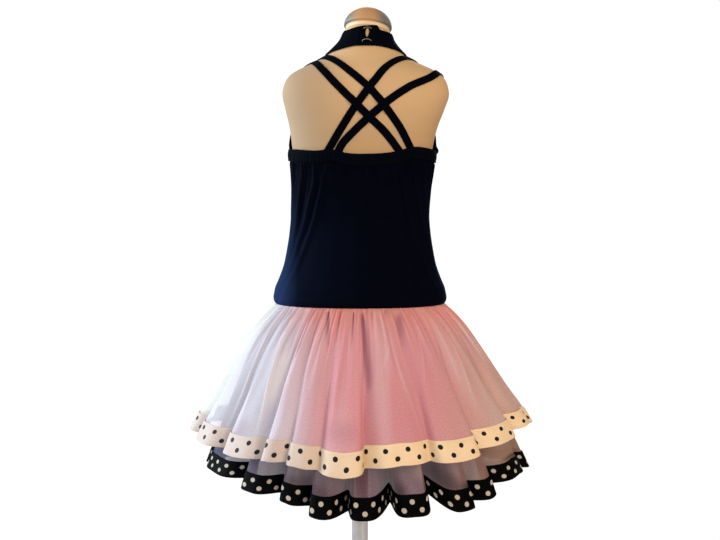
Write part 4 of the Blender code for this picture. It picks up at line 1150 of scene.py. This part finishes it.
# ---- the dress form and its stand
def form_body():
    """The limbless torso and neck."""
    columns, rows = 200, 170
    turns = np.arange(columns) / columns
    edge, neck_foot = 0.006, 0.985
    low = FORM_BOTTOM + edge * (1 - np.cos(np.linspace(0, math.pi / 2, 5)))
    heights = np.concatenate([low, np.linspace(low[-1], NECK_TOP, rows)[1:]])
    grid = form_surface(turns, heights[:, None])
    middle = grid[:, :, :2].mean(axis=1, keepdims=True)
    for row, height in enumerate(low):
        inset = 1 - 0.05 * (1 - math.sqrt(max(1 - (1 - (height - FORM_BOTTOM) / edge) ** 2, 0.0)))
        grid[row, :, :2] = middle[row] + (grid[row, :, :2] - middle[row]) * inset
    away = grid[-1] - grid[-1].mean(axis=0)
    tilt = away[:, 0] * math.tan(NECK_TILT) + away[:, 1] * math.tan(NECK_NOD)
    rise = eased((heights - neck_foot) / (NECK_TOP - neck_foot))
    grid[:, :, 2] += rise[:, None] * tilt[None]
    points = np.concatenate([grid.reshape(-1, 3), grid[:1].mean(axis=1), grid[-1:].mean(axis=1)])
    rows, corners = len(heights), len(heights) * columns
    faces = grid_faces(rows, columns, True) + end_fans(rows, columns, corners, corners + 1)
    return build("form_body", points, faces)


def neck_cap():
    """The domed cap on the slanting neck, with a rounded rim."""
    lip = 0.0006
    profile = [(0.0, 0.0)] + arc(CAP_FOOT_RADIUS - lip, lip, lip, -90, 0, 4)
    profile += [(CAP_FOOT_RADIUS, CAP_FOOT - lip)]
    profile += [(CAP_FOOT_RADIUS + (CAP_RADIUS - CAP_FOOT_RADIUS) * eased(x).item(),
                 CAP_FOOT + x * (CAP_SHOULDER - CAP_FOOT)) for x in np.linspace(0.0, 0.9, 7)]
    profile += [(CAP_RADIUS * math.cos(a), CAP_SHOULDER + (CAP_HEIGHT - CAP_SHOULDER) * math.sin(a))
                for a in np.radians(np.linspace(0, 88, 26))]
    profile.append((0.0, CAP_HEIGHT))
    cap = turned_object("cap", profile, 96)
    cap.data.transform(cap_place())
    return cap


def stand_base():
    """The round base plate with its socket and its clamping screw's collar."""
    edge, fillet, lip = BASE_EDGE, 0.006, 0.0015
    profile = [(0.0, 0.0)] + arc(BASE_RADIUS - edge, edge, edge, -90, 0)
    profile += arc(BASE_RADIUS - edge, BASE_THICK - edge, edge, 0, 90)
    profile += arc(SOCKET_RADIUS + fillet, BASE_THICK + fillet, fillet, 270, 180)
    profile += arc(SOCKET_RADIUS - lip, SOCKET_HEIGHT - lip, lip, 0, 90)
    profile.append((0.0, SOCKET_HEIGHT))
    return turned_object("stand_base", profile, 128)


def stand_pole():
    """The pole from the socket to the torso."""
    low, high, lip = SOCKET_HEIGHT + SEAM, FORM_BOTTOM - SEAM, 0.001
    profile = [(0.0, low)] + arc(POLE_RADIUS - lip, low + lip, lip, -90, 0, 4)
    profile += arc(POLE_RADIUS - lip, high - lip, lip, 0, 90, 4) + [(0.0, high)]
    return turned_object("stand_pole", profile, 64)


# ---- the bodice
def back_top(turn):
    """Height of the back panel's top edge."""
    return BACK_TOP_SIDE - BACK_TOP_DIP * np.sin(2 * math.pi * turn) ** 2


def bodice_out(height, down, turn):
    """The middle of the bodice's wall, off the form, with its long soft undulations."""
    out = read(BODICE_EASE, "height", "out", height) + CLOTH / 2
    body = eased((height - BODICE_HEM) / 0.03) * eased(down / 0.1)
    return out + BODICE_WAVE * body * wavering(turn + 0.03 * down, (9, 14, 21), 5)


def band_pull(turn):
    """How far the straps pull the band up, and the cloth's own weight lets it sag beside them."""
    return sum(pull.amount * bell(turn, pull.turn, pull.wide) for pull in BAND_PULLS)


def back_panel():
    """The back panel, gathered into the band at its top and bloused over the skirt's seam."""
    turns = np.linspace(BODICE_SEAM, 0.5 - BODICE_SEAM, 340)
    length = BACK_TOP_SIDE - BODICE_HEM
    down = edged(130, length, HEM_ROLL)
    turn, down = np.meshgrid(turns, down)
    top = back_top(turn) + band_pull(turn)
    height = BODICE_HEM + (top - BODICE_HEM) * (1 - down)
    out = bodice_out(height, down, turn)
    under_band = eased((down - BACK_SMOOTH) / BACK_SMOOTH_END)
    ripple = wavering(turn, BACK_GATHERS, 11)
    reach = BACK_GATHER_REACH * (2.4 + 1.3 * wavering(turn, (17, 29, 41), 3))
    out += under_band * BACK_GATHER_DEPTH * ripple * bell(down, 0, reach)
    out += under_band * BACK_PUCKER * wavering(turn, (23, 31, 38), 8) * bell(down, 0, BACK_PUCKER_REACH)
    out -= under_band * creased(BACK_CREASES, turn, down)
    out = np.maximum(out, BACK_LEAST)
    grid = off_form(turn, height, out)
    return shell_object("back_panel", grid, CLOTH / 2 * rolled(down, length, HEM_ROLL))


def top_band():
    """The binding that takes the back panel's gathers, slightly puckered by its stitches."""
    turns = np.linspace(BODICE_SEAM, 0.5 - BODICE_SEAM, 300)
    down = edged(12, BAND_WIDTH + BAND_LAP, BAND_ROLL)
    turn, down = np.meshgrid(turns, down)
    height = back_top(turn) + band_pull(turn) - BAND_LAP + (BAND_WIDTH + BAND_LAP) * (1 - down)
    out = BODICE_CLEAR + CLOTH + BAND_OUT + BAND_WAVE * wavering(turn, (47, 66, 95), 21) * eased(down)
    out += BAND_CROWN * np.sin(math.pi * down) - BAND_LEAN * eased((0.45 - down) / 0.45)
    grid = off_form(turn, height, out)
    return shell_object("top_band", grid, BAND_THICK / 2 * rolled(down, BAND_WIDTH, BAND_ROLL)), grid


def front_panel():
    """The halter front, cut away at the armholes and joined to the collar."""
    length = FRONT_TOP - BODICE_HEM
    level = FRONT_TOP - length * edged(150, length, HEM_ROLL)[:, None]
    across = edged(212, 1.0, 0.008)
    start = 0.5 - SIDE_LAP + 0.25 * read(FRONT, "height", "edge", level)
    turn = start + (1.5 - 2 * start) * across
    height = level - read(FRONT, "height", "dip", level) * np.sin(2 * math.pi * (turn - 0.5)) ** 2
    height = np.minimum(height, read(COLLAR, "turn", "low", turn - 0.25) - 2 * SEAM)
    down = (FRONT_TOP - level) / length
    out = bodice_out(height, down, turn)
    out -= creased(FRONT_CREASES, turn, 1 - down) * eased((FRONT_SMOOTH - height) / 0.03)
    bust = bell(height, BUST_HEIGHT, 0.045) * np.abs(np.sin(2 * math.pi * (turn - 0.75)))
    out += BUST_OUT * bust * bell(np.abs(turn - 0.75), 0.07, 0.05)
    tuck = bell(height, TUCK_HEIGHT, 0.006) * bell(turn, 0.5, 0.012)
    out += TUCK_OUT * tuck
    grid = off_form(turn, height, out)
    thick = CLOTH / 2 * rolled(across, FRONT_GIRTH, HEM_ROLL) * rolled(down, length, HEM_ROLL)
    return shell_object("front_panel", grid, thick), grid


# ---- the collar
def collar_clear(level):
    """How far the collar stands off the neck, from its foot (0) to its top (1)."""
    return COLLAR_CLEAR + (COLLAR_STAND - COLLAR_CLEAR) * level


def neck_collar():
    """The halter's neck band, folded over at its edges and open at the centre back."""
    around = 2 * math.pi * NECK_RADIUS
    down = edged(30, COLLAR_HEIGHT, HEM_ROLL)[:, None]
    across = edged(280, around, HEM_ROLL)
    level = 1 - down
    bowed = np.maximum(1 - ((level - CLOSURE_MIDDLE) / CLOSURE_REACH) ** 2, 0.0)
    gap = CLOSURE_END_GAP + (CLOSURE_MID_GAP - CLOSURE_END_GAP) * bowed
    way = gap / 2 / around + (1 - gap / around) * across
    low, high = read(COLLAR, "turn", "low", way), read(COLLAR, "turn", "high", way)
    out = collar_clear(level) + COLLAR_THICK / 2 + COLLAR_WAVE * wavering(way, (13, 22, 34), 17)
    grid = off_form(0.25 + way, low + (high - low) * level, out)
    thick = COLLAR_THICK / 2 * rolled(down, COLLAR_HEIGHT, BAND_ROLL) * rolled(across, around, BAND_ROLL)
    return shell_object("neck_collar", grid, thick), grid


def hooks():
    """Two wire staples that hook the collar's ends together."""
    corner, half, rise = 0.0014, HOOK_WIDTH / 2, 0.0010
    path = [(-half, -HOOK_DEPTH), (-half, -corner)]
    path += [(-half + corner * (1 - math.cos(a)), -corner + corner * math.sin(a))
             for a in np.radians((22, 45, 68, 90))]
    path += [(-0.4 * half, rise), (0.0, rise * 1.1)]
    path += [(-x, lift) for x, lift in path[-2::-1]]
    knots = np.arange(len(path), dtype=float)
    wire = catmull_rom(knots, np.array(path), np.linspace(0, knots[-1], 60))
    turn = 0.25 - wire[:, 0] / (2 * math.pi * NECK_RADIUS)
    nape = COLLAR[0]
    made = []
    for name, height in zip(("hook_low", "hook_high"), HOOK_HEIGHTS):
        level = (height - nape.low) / (nape.high - nape.low)
        out = collar_clear(level) + COLLAR_THICK + 2 * SEAM + HOOK_WIRE / 2
        line, raised = [off_form(turn, height + wire[:, 1], np.full(len(turn), far))
                        for far in (out, out + 0.001)]
        made.append(swept_object(name, line, unit(raised - line), HOOK_WIRE / 2, HOOK_WIRE / 2, 2.0, 12))
    return made


# ---- the straps
def tree_of(made):
    """An object's surface, to lay the straps on."""
    mesh = made.data
    return BVHTree.FromPolygons([v.co for v in mesh.vertices], [tuple(f.vertices) for f in mesh.polygons])


def strap_guide(tree, point):
    """The place on the form that a row of the strap tables names."""
    far = 0.4
    start, way = {
        "ridge": ((point.across, RIDGE_Y, 1.0 + far), (0, 0, -1)),
        "back": ((point.across, far, point.height), (0, -1, 0)),
        "front": ((point.across, -far, point.height), (0, 1, 0)),
    }[point.face]
    return tree.ray_cast(Vector(start), Vector(way))[0]


def strap_line(tree, guides):
    """Evenly spaced points along a strap, the form's normal at each and the distance to it."""
    points = np.array([strap_guide(tree, guide) for guide in guides])
    length = lengths(points)
    curve = catmull_rom(length, points, np.linspace(0, length[-1], 200))
    snapped, normals = zip(*[tree.find_nearest(Vector(place))[:2] for place in curve])
    snapped, normals = smoothed(np.array(snapped), 5), smoothed(np.array(normals), 9)
    length = lengths(snapped)
    at = np.linspace(0, length[-1], 150)
    return sampled(at, length, snapped), unit(sampled(at, length, normals)), at


def meeting(first, second):
    """How far along the first of two strap lines it passes closest to the second."""
    apart = np.linalg.norm(first[0][:, None] - second[0][None], axis=2)
    i, _ = np.unravel_index(apart.argmin(), apart.shape)
    return first[2][i]


def settle(tree, line, normal):
    """How far each ring of a strap must stand off its line to clear the form all across."""
    across = np.cross(normal, unit(np.gradient(line, axis=0)))
    lift = np.zeros(len(line))
    for side in (-1.0, -0.5, 0.0, 0.5, 1.0):
        edge = line + across * side * STRAP_WIDTH / 2
        for k, place in enumerate(edge):
            near, out, _, _ = tree.find_nearest(Vector(place))
            lift[k] = max(lift[k], STRAP_CLEAR - (Vector(place) - near).dot(out))
    return smoothed(lift[:, None], 7)[:, 0]


def straps(form):
    """The four crossed straps, each raised where it passes over another."""
    tree = tree_of(form)
    lines = {name: strap_line(tree, guides) for name, guides in STRAPS.items()}
    raised = {name: [] for name in lines}
    for over, under in CROSSINGS:
        raised[over].append(meeting(lines[over], lines[under]))
    made = []
    for name, (line, normal, at) in lines.items():
        lift = settle(tree, line, normal)
        for place in raised[name]:
            hump = eased((CROSS_FLAT + CROSS_RAMP - np.abs(at - place)) / CROSS_RAMP)
            lift = np.maximum(lift, hump * (STRAP_THICK + CROSS_CLEAR) + STRAP_CLEAR)
        middle = line + normal * (lift + STRAP_THICK / 2)[:, None]
        strap = swept_object("cross_" + name, middle, normal, STRAP_WIDTH / 2, STRAP_THICK / 2, 4.0, 20)
        made.append((strap, name, middle + normal * STRAP_THICK / 2, normal, at))
    return made


# ---- the skirt
def fold_columns(folds, girth):
    """Columns all round a tier: the turn at each, how far along its fold it lies, the fold's
    swing, how far it stands out and hangs down at the hem. folds are the back's and front's."""
    halves = [sum(fold.angle for fold in half) for half in folds]
    ring = [
        (fold, 0.5 * fold.angle / total, 0.5 / total)
        for half, total in zip(folds, halves)
        for fold in half
    ]
    columns = []
    start = 0.0
    for k, (fold, width, degree) in enumerate(ring):
        flare = max(width / 6 - VALLEY_GAP / girth, 0.0)
        for phase in np.linspace(-180, 180, round(fold.angle * COLUMNS_PER_DEGREE), endpoint=False):
            before = ring[k - 1][0]
            beside = before if phase < 0 else ring[(k + 1) % len(ring)][0]
            valley = before if phase < 0 else fold
            near = abs(phase) / 360
            angle = math.radians(phase)
            dip = ((1 - math.cos(angle)) / 2) ** FOLD_FULLNESS
            columns.append((
                start + width * (phase / 360 + 0.5),
                angle,
                flare * math.sin(angle) + valley.shift * degree * dip,
                fold.crest * (1 - dip) - (fold.depth + beside.depth) / 2 * dip,
                fold.drop * (1 - near) + beside.drop * near - valley.rise * dip,
            ))
        start += width
    columns.append((1.0,) + columns[0][1:])
    return np.array(columns).T


def swelling(share, seam, full, peak, reach):
    """How far gathers stand out: from the seam's amount to the full one at the peak, and then
    less until that reach below it."""
    return (seam + (full - seam) * eased(share / peak)) * (1 - eased((share - peak) / reach))


def tier_grid(row, columns, shares):
    """The tier's surface with its gathers, folds and creases: [share][column] points, and how much
    painted shade each gets from its troughs and the patches, from -1, a painted highlight on a ridge or
    opened patch, to 1."""
    turn, angle, swing, stand_out, drop = columns
    droop = HEM_DROOP * np.sin(2 * math.pi * turn) ** 2
    reach = GATHER_END * (1 + GATHER_UNEVEN * wavering(turn, (31, 47, 60), row.seed))
    fine = np.sin(FINE_GATHERS * angle + GATHER_DRIFT * wavering(turn, (11, 19), row.seed + 1))
    fine = np.sign(fine) * np.abs(fine) ** 0.8
    coarse = np.sin(GATHERS_PER_FOLD * angle)
    grid, sunk = [], []
    for share in shares:
        height, half_width, back, front, lean = [
            read(row.profile, "share", name, share) for name in Profile._fields[1:]
        ]
        small = swelling(share, FINE_GATHER, DEEP_GATHER, GATHER_PEAK, reach)
        large = swelling(share, SEAM_GATHER, FULL_GATHER, LARGE_PEAK, LARGE_REACH)
        out = stand_out * share ** 1.15 + fine * small * row.inward + coarse * large
        ripple = wavering(turn + 0.02 * share, (27, 44, 63), row.seed + 2) * RIPPLE
        ripple = ripple * math.sin(math.pi * share) ** 0.7
        crease = creased(UPPER_CREASES, turn, np.full_like(turn, share)) * eased(share / 0.05)
        out += ripple - row.inward * crease
        # Painted shade: deep creases and the fine gathers' troughs darken the tulle's colour, ridges lighten
        # it, and the patches add painted shade or painted light.
        shaded = crease / DARK_CREASE + 0.25 * np.clip(-fine, 0, 1) * small / DEEP_GATHER
        for patch in row.patches:
            away = round_from(patch.turn, turn) / patch.wide
            shaded += patch.deep * np.exp(-away ** 2 - ((share - patch.share) / patch.tall) ** 2)
        sunk.append(np.clip(shaded, -1, 1))
        square = 2.2 - 0.2 * eased(share / 0.5)
        swung = turn + swing * eased(share * 1.2)
        x, y = round_section(swung, half_width + out, back + out, front + out, 0.0, lean, square)
        grid.append(np.stack([x, y, height - (drop + droop) * share ** 2], axis=-1))
    return np.array(grid), np.array(sunk)


def tier(row):
    """A tier's two tulle panels and the ribbon ring along its hem."""
    hem = row.profile[-1]
    columns = fold_columns(row.folds, math.pi * (hem.half_width + (hem.back + hem.front) / 2))
    shares = np.concatenate([np.linspace(0, 0.14, 17), np.linspace(0.14, 1.0, 46)[1:]])
    grid, sunk = tier_grid(row, columns, shares)
    turn = columns[0]
    fan = np.stack(np.broadcast_arrays(turn, shares[:, None], sunk), axis=-1)
    half = int(np.searchsorted(turn, 0.5 - 1e-9))
    panels = [
        sheet_object(f"{row.name}_tulle_back", grid[:, : half + 1], fan[:, : half + 1]),
        sheet_object(f"{row.name}_tulle_front", grid[:, half:], fan[:, half:]),
    ]
    down = edged(9, RIBBON_WIDTH, RIBBON_ROLL)
    start = row.profile[-2].share
    ring = tier_grid(row, columns, start + (1 - start) * down)[0][:, :-1]
    normal = grid_normals(ring, closed=True)
    ring = ring + normal * (TRIM_CLEAR + RIBBON / 2)
    along = np.linalg.norm(np.diff(np.concatenate([ring, ring[:, :1]], axis=1), axis=1), axis=-1).mean(axis=0)
    u = summed(along)
    pitches = round(u[-1] / row.dots.pitch)
    u = u[:-1] * pitches * row.dots.pitch / u[-1]
    uv = np.stack(np.meshgrid(u, down * RIBBON_WIDTH), axis=-1)
    half_thick = RIBBON / 2 * rolled(down, RIBBON_WIDTH, RIBBON_ROLL)[:, None]
    trim = shell_object(f"{row.name}_ribbon", ring, half_thick, uv, True)
    return panels, trim, ring + normal * RIBBON / 2, normal, u


# ---- sewing
def stitched(name, runs, stitch):
    """Rows of small stitches, joined in one piece. Each run is a line on the cloth and the
    outward normal along it."""
    length, gap, radius = stitch
    points, faces = [], []
    for line, normal in runs:
        at = lengths(line)
        places = np.arange(gap, at[-1] - length, length + gap)
        middle, out = [sampled(places + length / 2, at, values) for values in (line, normal)]
        ahead = unit(sampled(places + length, at, line) - sampled(places, at, line))
        side = unit(np.cross(ahead, out))
        for centre, way, up, across in zip(middle, ahead, out, side):
            first = len(points)
            points.append(centre - way * length / 2)
            for along in (-STITCH_SHOULDER, STITCH_SHOULDER):
                for x, y in ((1, 0), (0, 1), (-1, 0), (0, -1)):
                    points.append(centre + way * along * length + (across * x + up * y) * radius)
            points.append(centre + way * length / 2)
            for k in range(4):
                a, b = first + 1 + k, first + 1 + (k + 1) % 4
                faces += [(first, b, a), (a, b, b + 4, a + 4), (first + 9, a + 4, b + 4)]
    return build(name, np.array(points), faces)


def sewn(name, runs, material, stitch=SEAM_STITCH):
    """Stitches in their thread."""
    return dressed(stitched(name, runs, stitch), material)


def run_on(grid, thick, where):
    """A line on the outside of a cloth's wall, and the normal along it."""
    normal = grid_normals(grid)
    return (grid + normal * thick / 2)[where], normal[where]


def strap_tacks(strap, normal):
    """Bar tacks across a strap where it goes under the band: its outside line is given."""
    k = int(np.argmax(strap[:, 2] > BACK_TOP_SIDE + 0.0056))
    ahead = strap[k + 1] - strap[k]
    across = unit(np.cross(normal[k], ahead))
    runs = []
    for step in (0.0, 0.0011, 0.0022):
        line = strap[k] + unit(ahead) * step + across * np.linspace(-0.40, 0.40, 9)[:, None] * STRAP_WIDTH
        runs.append((line, np.repeat(normal[k : k + 1], 9, axis=0)))
    return runs


# ---- camera, light and floor
def photographer():
    """The camera at the photograph's viewing angle, looking at the garment's back."""
    camera = placed("camera", bpy.data.cameras.new("camera"))
    camera.location = (0.0, CAMERA_DISTANCE, CAMERA_HEIGHT)
    camera.rotation_euler = (math.pi / 2 - CAMERA_PITCH, 0.0, math.pi)
    camera.data.sensor_width = 36.0
    camera.data.lens = CAMERA_LENS
    bpy.context.scene.camera = camera


def softbox(lamp):
    """A large soft lamp."""
    light = bpy.data.lights.new(lamp.name, "AREA")
    light.shape = "RECTANGLE"
    light.size, light.size_y = lamp.size
    light.energy = lamp.power
    light.color = lamp.colour
    made = placed(lamp.name, light)
    made.location = lamp.place
    made.rotation_euler = (Vector(LAMP_TARGET) - Vector(lamp.place)).to_track_quat("-Z", "Y").to_euler()


def studio():
    """A white room, daylight from the left of the picture and a warm fill from the right."""
    world = bpy.data.worlds.new("studio")
    world.use_nodes = True
    bpy.context.scene.world = world
    nodes, links = world.node_tree.nodes, world.node_tree.links
    seen = nodes["Background"]
    seen.inputs["Color"].default_value = (1.0, 1.0, 1.0, 1.0)
    seen.inputs["Strength"].default_value = 1.05
    lit = nodes.new("ShaderNodeBackground")
    lit.inputs["Color"].default_value = (1.0, 0.92, 0.84, 1.0)
    lit.inputs["Strength"].default_value = 0.42
    path = nodes.new("ShaderNodeLightPath")
    either = nodes.new("ShaderNodeMixShader")
    links.new(path.outputs["Is Camera Ray"], either.inputs[0])
    links.new(lit.outputs[0], either.inputs[1])
    links.new(seen.outputs[0], either.inputs[2])
    links.new(either.outputs[0], nodes["World Output"].inputs["Surface"])
    for lamp in LAMPS:
        softbox(lamp)
    scene = bpy.context.scene
    scene.view_settings.view_transform = "Standard"
    scene.cycles.transparent_max_bounces = 24


def pale_floor():
    """A plain pale floor under the stand."""
    finish = Finish("floor_paint")
    cloud = finish.noise(3.0, 3.0)
    colour = finish.tint(cloud, (0.93, 0.93, 0.93), (0.96, 0.96, 0.96))
    corners = [(x * FLOOR_HALF, y * FLOOR_HALF, 0.0) for y in (1, -1) for x in (-1, 1)]
    floor = build("floor", np.array(corners), grid_faces(2, 2, False))
    floor.location.z = -FLOOR_DROP
    floor.data.materials.append(finish.surface(colour, 0.9))


# ---- the whole
def dress_form():
    """The form with its cap and stand."""
    metal = smooth_part("pale_metal", (0.70, 0.70, 0.72), (0.80, 0.80, 0.82), 0.30, 0.85, 300.0)
    form = dressed(form_body(), form_cover(), "form_cream", "form_torso")
    dressed(neck_cap(), cap_paint(), "cap_grey", "neck_cap")
    dressed(stand_base(), metal, "stand_metal", "base_plate")
    dressed(stand_pole(), metal, "stand_metal", "pole")
    return form


def bodice(binding, black_thread):
    """The bodice's panels, band, collar and hooks, with their seams."""
    black = jersey()
    steel = smooth_part("hook_wire", (0.30, 0.29, 0.28), (0.42, 0.41, 0.39), 0.38, 1.0, 900.0)
    back = dressed(back_panel(), black, "jersey_black", "bodice_back")
    band, band_grid = top_band()
    dressed(band, binding, "jersey_black", "back_band")
    front, front_grid = front_panel()
    dressed(front, black, "jersey_black", "bodice_front")
    collar, collar_grid = neck_collar()
    dressed(collar, binding, "jersey_black", "collar")
    for hook, node in zip(hooks(), ("collar_hook_lower", "collar_hook_upper")):
        dressed(hook, steel, "hook_steel", node)

    band_runs = [run_on(band_grid, BAND_THICK, np.s_[row, :]) for row in (5, -8)]
    band_seam = sewn("band_stitches", band_runs, black_thread)
    armhole = int(np.argmax(front_grid[:, 0, 2] < ARMHOLE_FOOT))
    arm_runs = [run_on(front_grid, CLOTH, np.s_[6:armhole, column]) for column in (7, -8)]
    arm_seam = sewn("armhole_stitches", arm_runs, black_thread)
    collar_runs = [run_on(collar_grid, COLLAR_THICK, np.s_[row, 6:-6]) for row in (7, -8)]
    collar_seam = sewn("collar_stitches", collar_runs, black_thread)
    return back, front, band


def back_straps(form, band, binding, black_thread):
    """The four straps, each tacked to the band."""
    for strap, name, outside, normal, at in straps(form):
        dressed(strap, binding, "jersey_black", name)
        tacks = sewn("tacks_" + name[-1], strap_tacks(outside, normal), black_thread, TACK_STITCH)


def skirt(back, front, black_thread):
    """The two tiers with their ribbons, gathered into the bodice's back and front."""
    cream_thread = thread("cream_thread", (0.52, 0.44, 0.34), (0.68, 0.58, 0.46))
    cloths = (
        (tulle("pink_tulle", PINK_SHADES, 0.97, 0.89, 0.40), "tulle_pink"),
        (tulle("dusky_tulle", DUSKY_SHADES, 0.97, 0.93, 0.05), "tulle_mauve"),
    )
    # The ribbons' grounds, for the wearer's left and right, are painted light: cool daylight on the left and
    # a warm fill on the right.
    white = ribbon("white_dotted", ((0.50, 0.43, 0.42), (0.78, 0.58, 0.37)), (0.006, 0.005, 0.006),
                   BLACK_DOTS, 0.15)
    black = ribbon("black_dotted", ((0.0008, 0.0014, 0.0026), (0.0006, 0.0006, 0.0007)), (0.47, 0.42, 0.35),
                   WHITE_DOTS, 0.02)
    trims = ((white, "ribbon_white", cream_thread), (black, "ribbon_black", black_thread))
    for row, (cloth, cloth_slot), (dotted, trim_slot, sewing) in zip(TIERS, cloths, trims):
        panels, trim, outside, normal, around = tier(row)
        for piece, side, panel in zip(panels, ("back", "front"), (back, front)):
            dressed(piece, cloth, cloth_slot, f"{row.name}_tier_{side}")
        dressed(trim, dotted, trim_slot, f"{row.name}_trim")
        runs = [(outside[k], normal[k]) for k in (5, -6)]
        seam = sewn(f"{row.name}_ribbon_stitches", runs, sewing)
        list(panels)


def main():
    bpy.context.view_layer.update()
    photographer()
    studio()
    pale_floor()
    binding = elastic()
    black_thread = thread("black_thread", (0.0015, 0.0015, 0.0030), (0.005, 0.005, 0.008))
    form = dress_form()
    back, front, band = bodice(binding, black_thread)
    back_straps(form, band, binding, black_thread)
    skirt(back, front, black_thread)


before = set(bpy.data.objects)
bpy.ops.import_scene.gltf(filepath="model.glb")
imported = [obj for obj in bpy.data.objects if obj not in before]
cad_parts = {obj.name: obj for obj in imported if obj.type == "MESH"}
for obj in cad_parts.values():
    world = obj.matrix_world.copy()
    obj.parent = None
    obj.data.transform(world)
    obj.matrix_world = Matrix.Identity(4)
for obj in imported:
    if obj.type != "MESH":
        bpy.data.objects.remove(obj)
main()
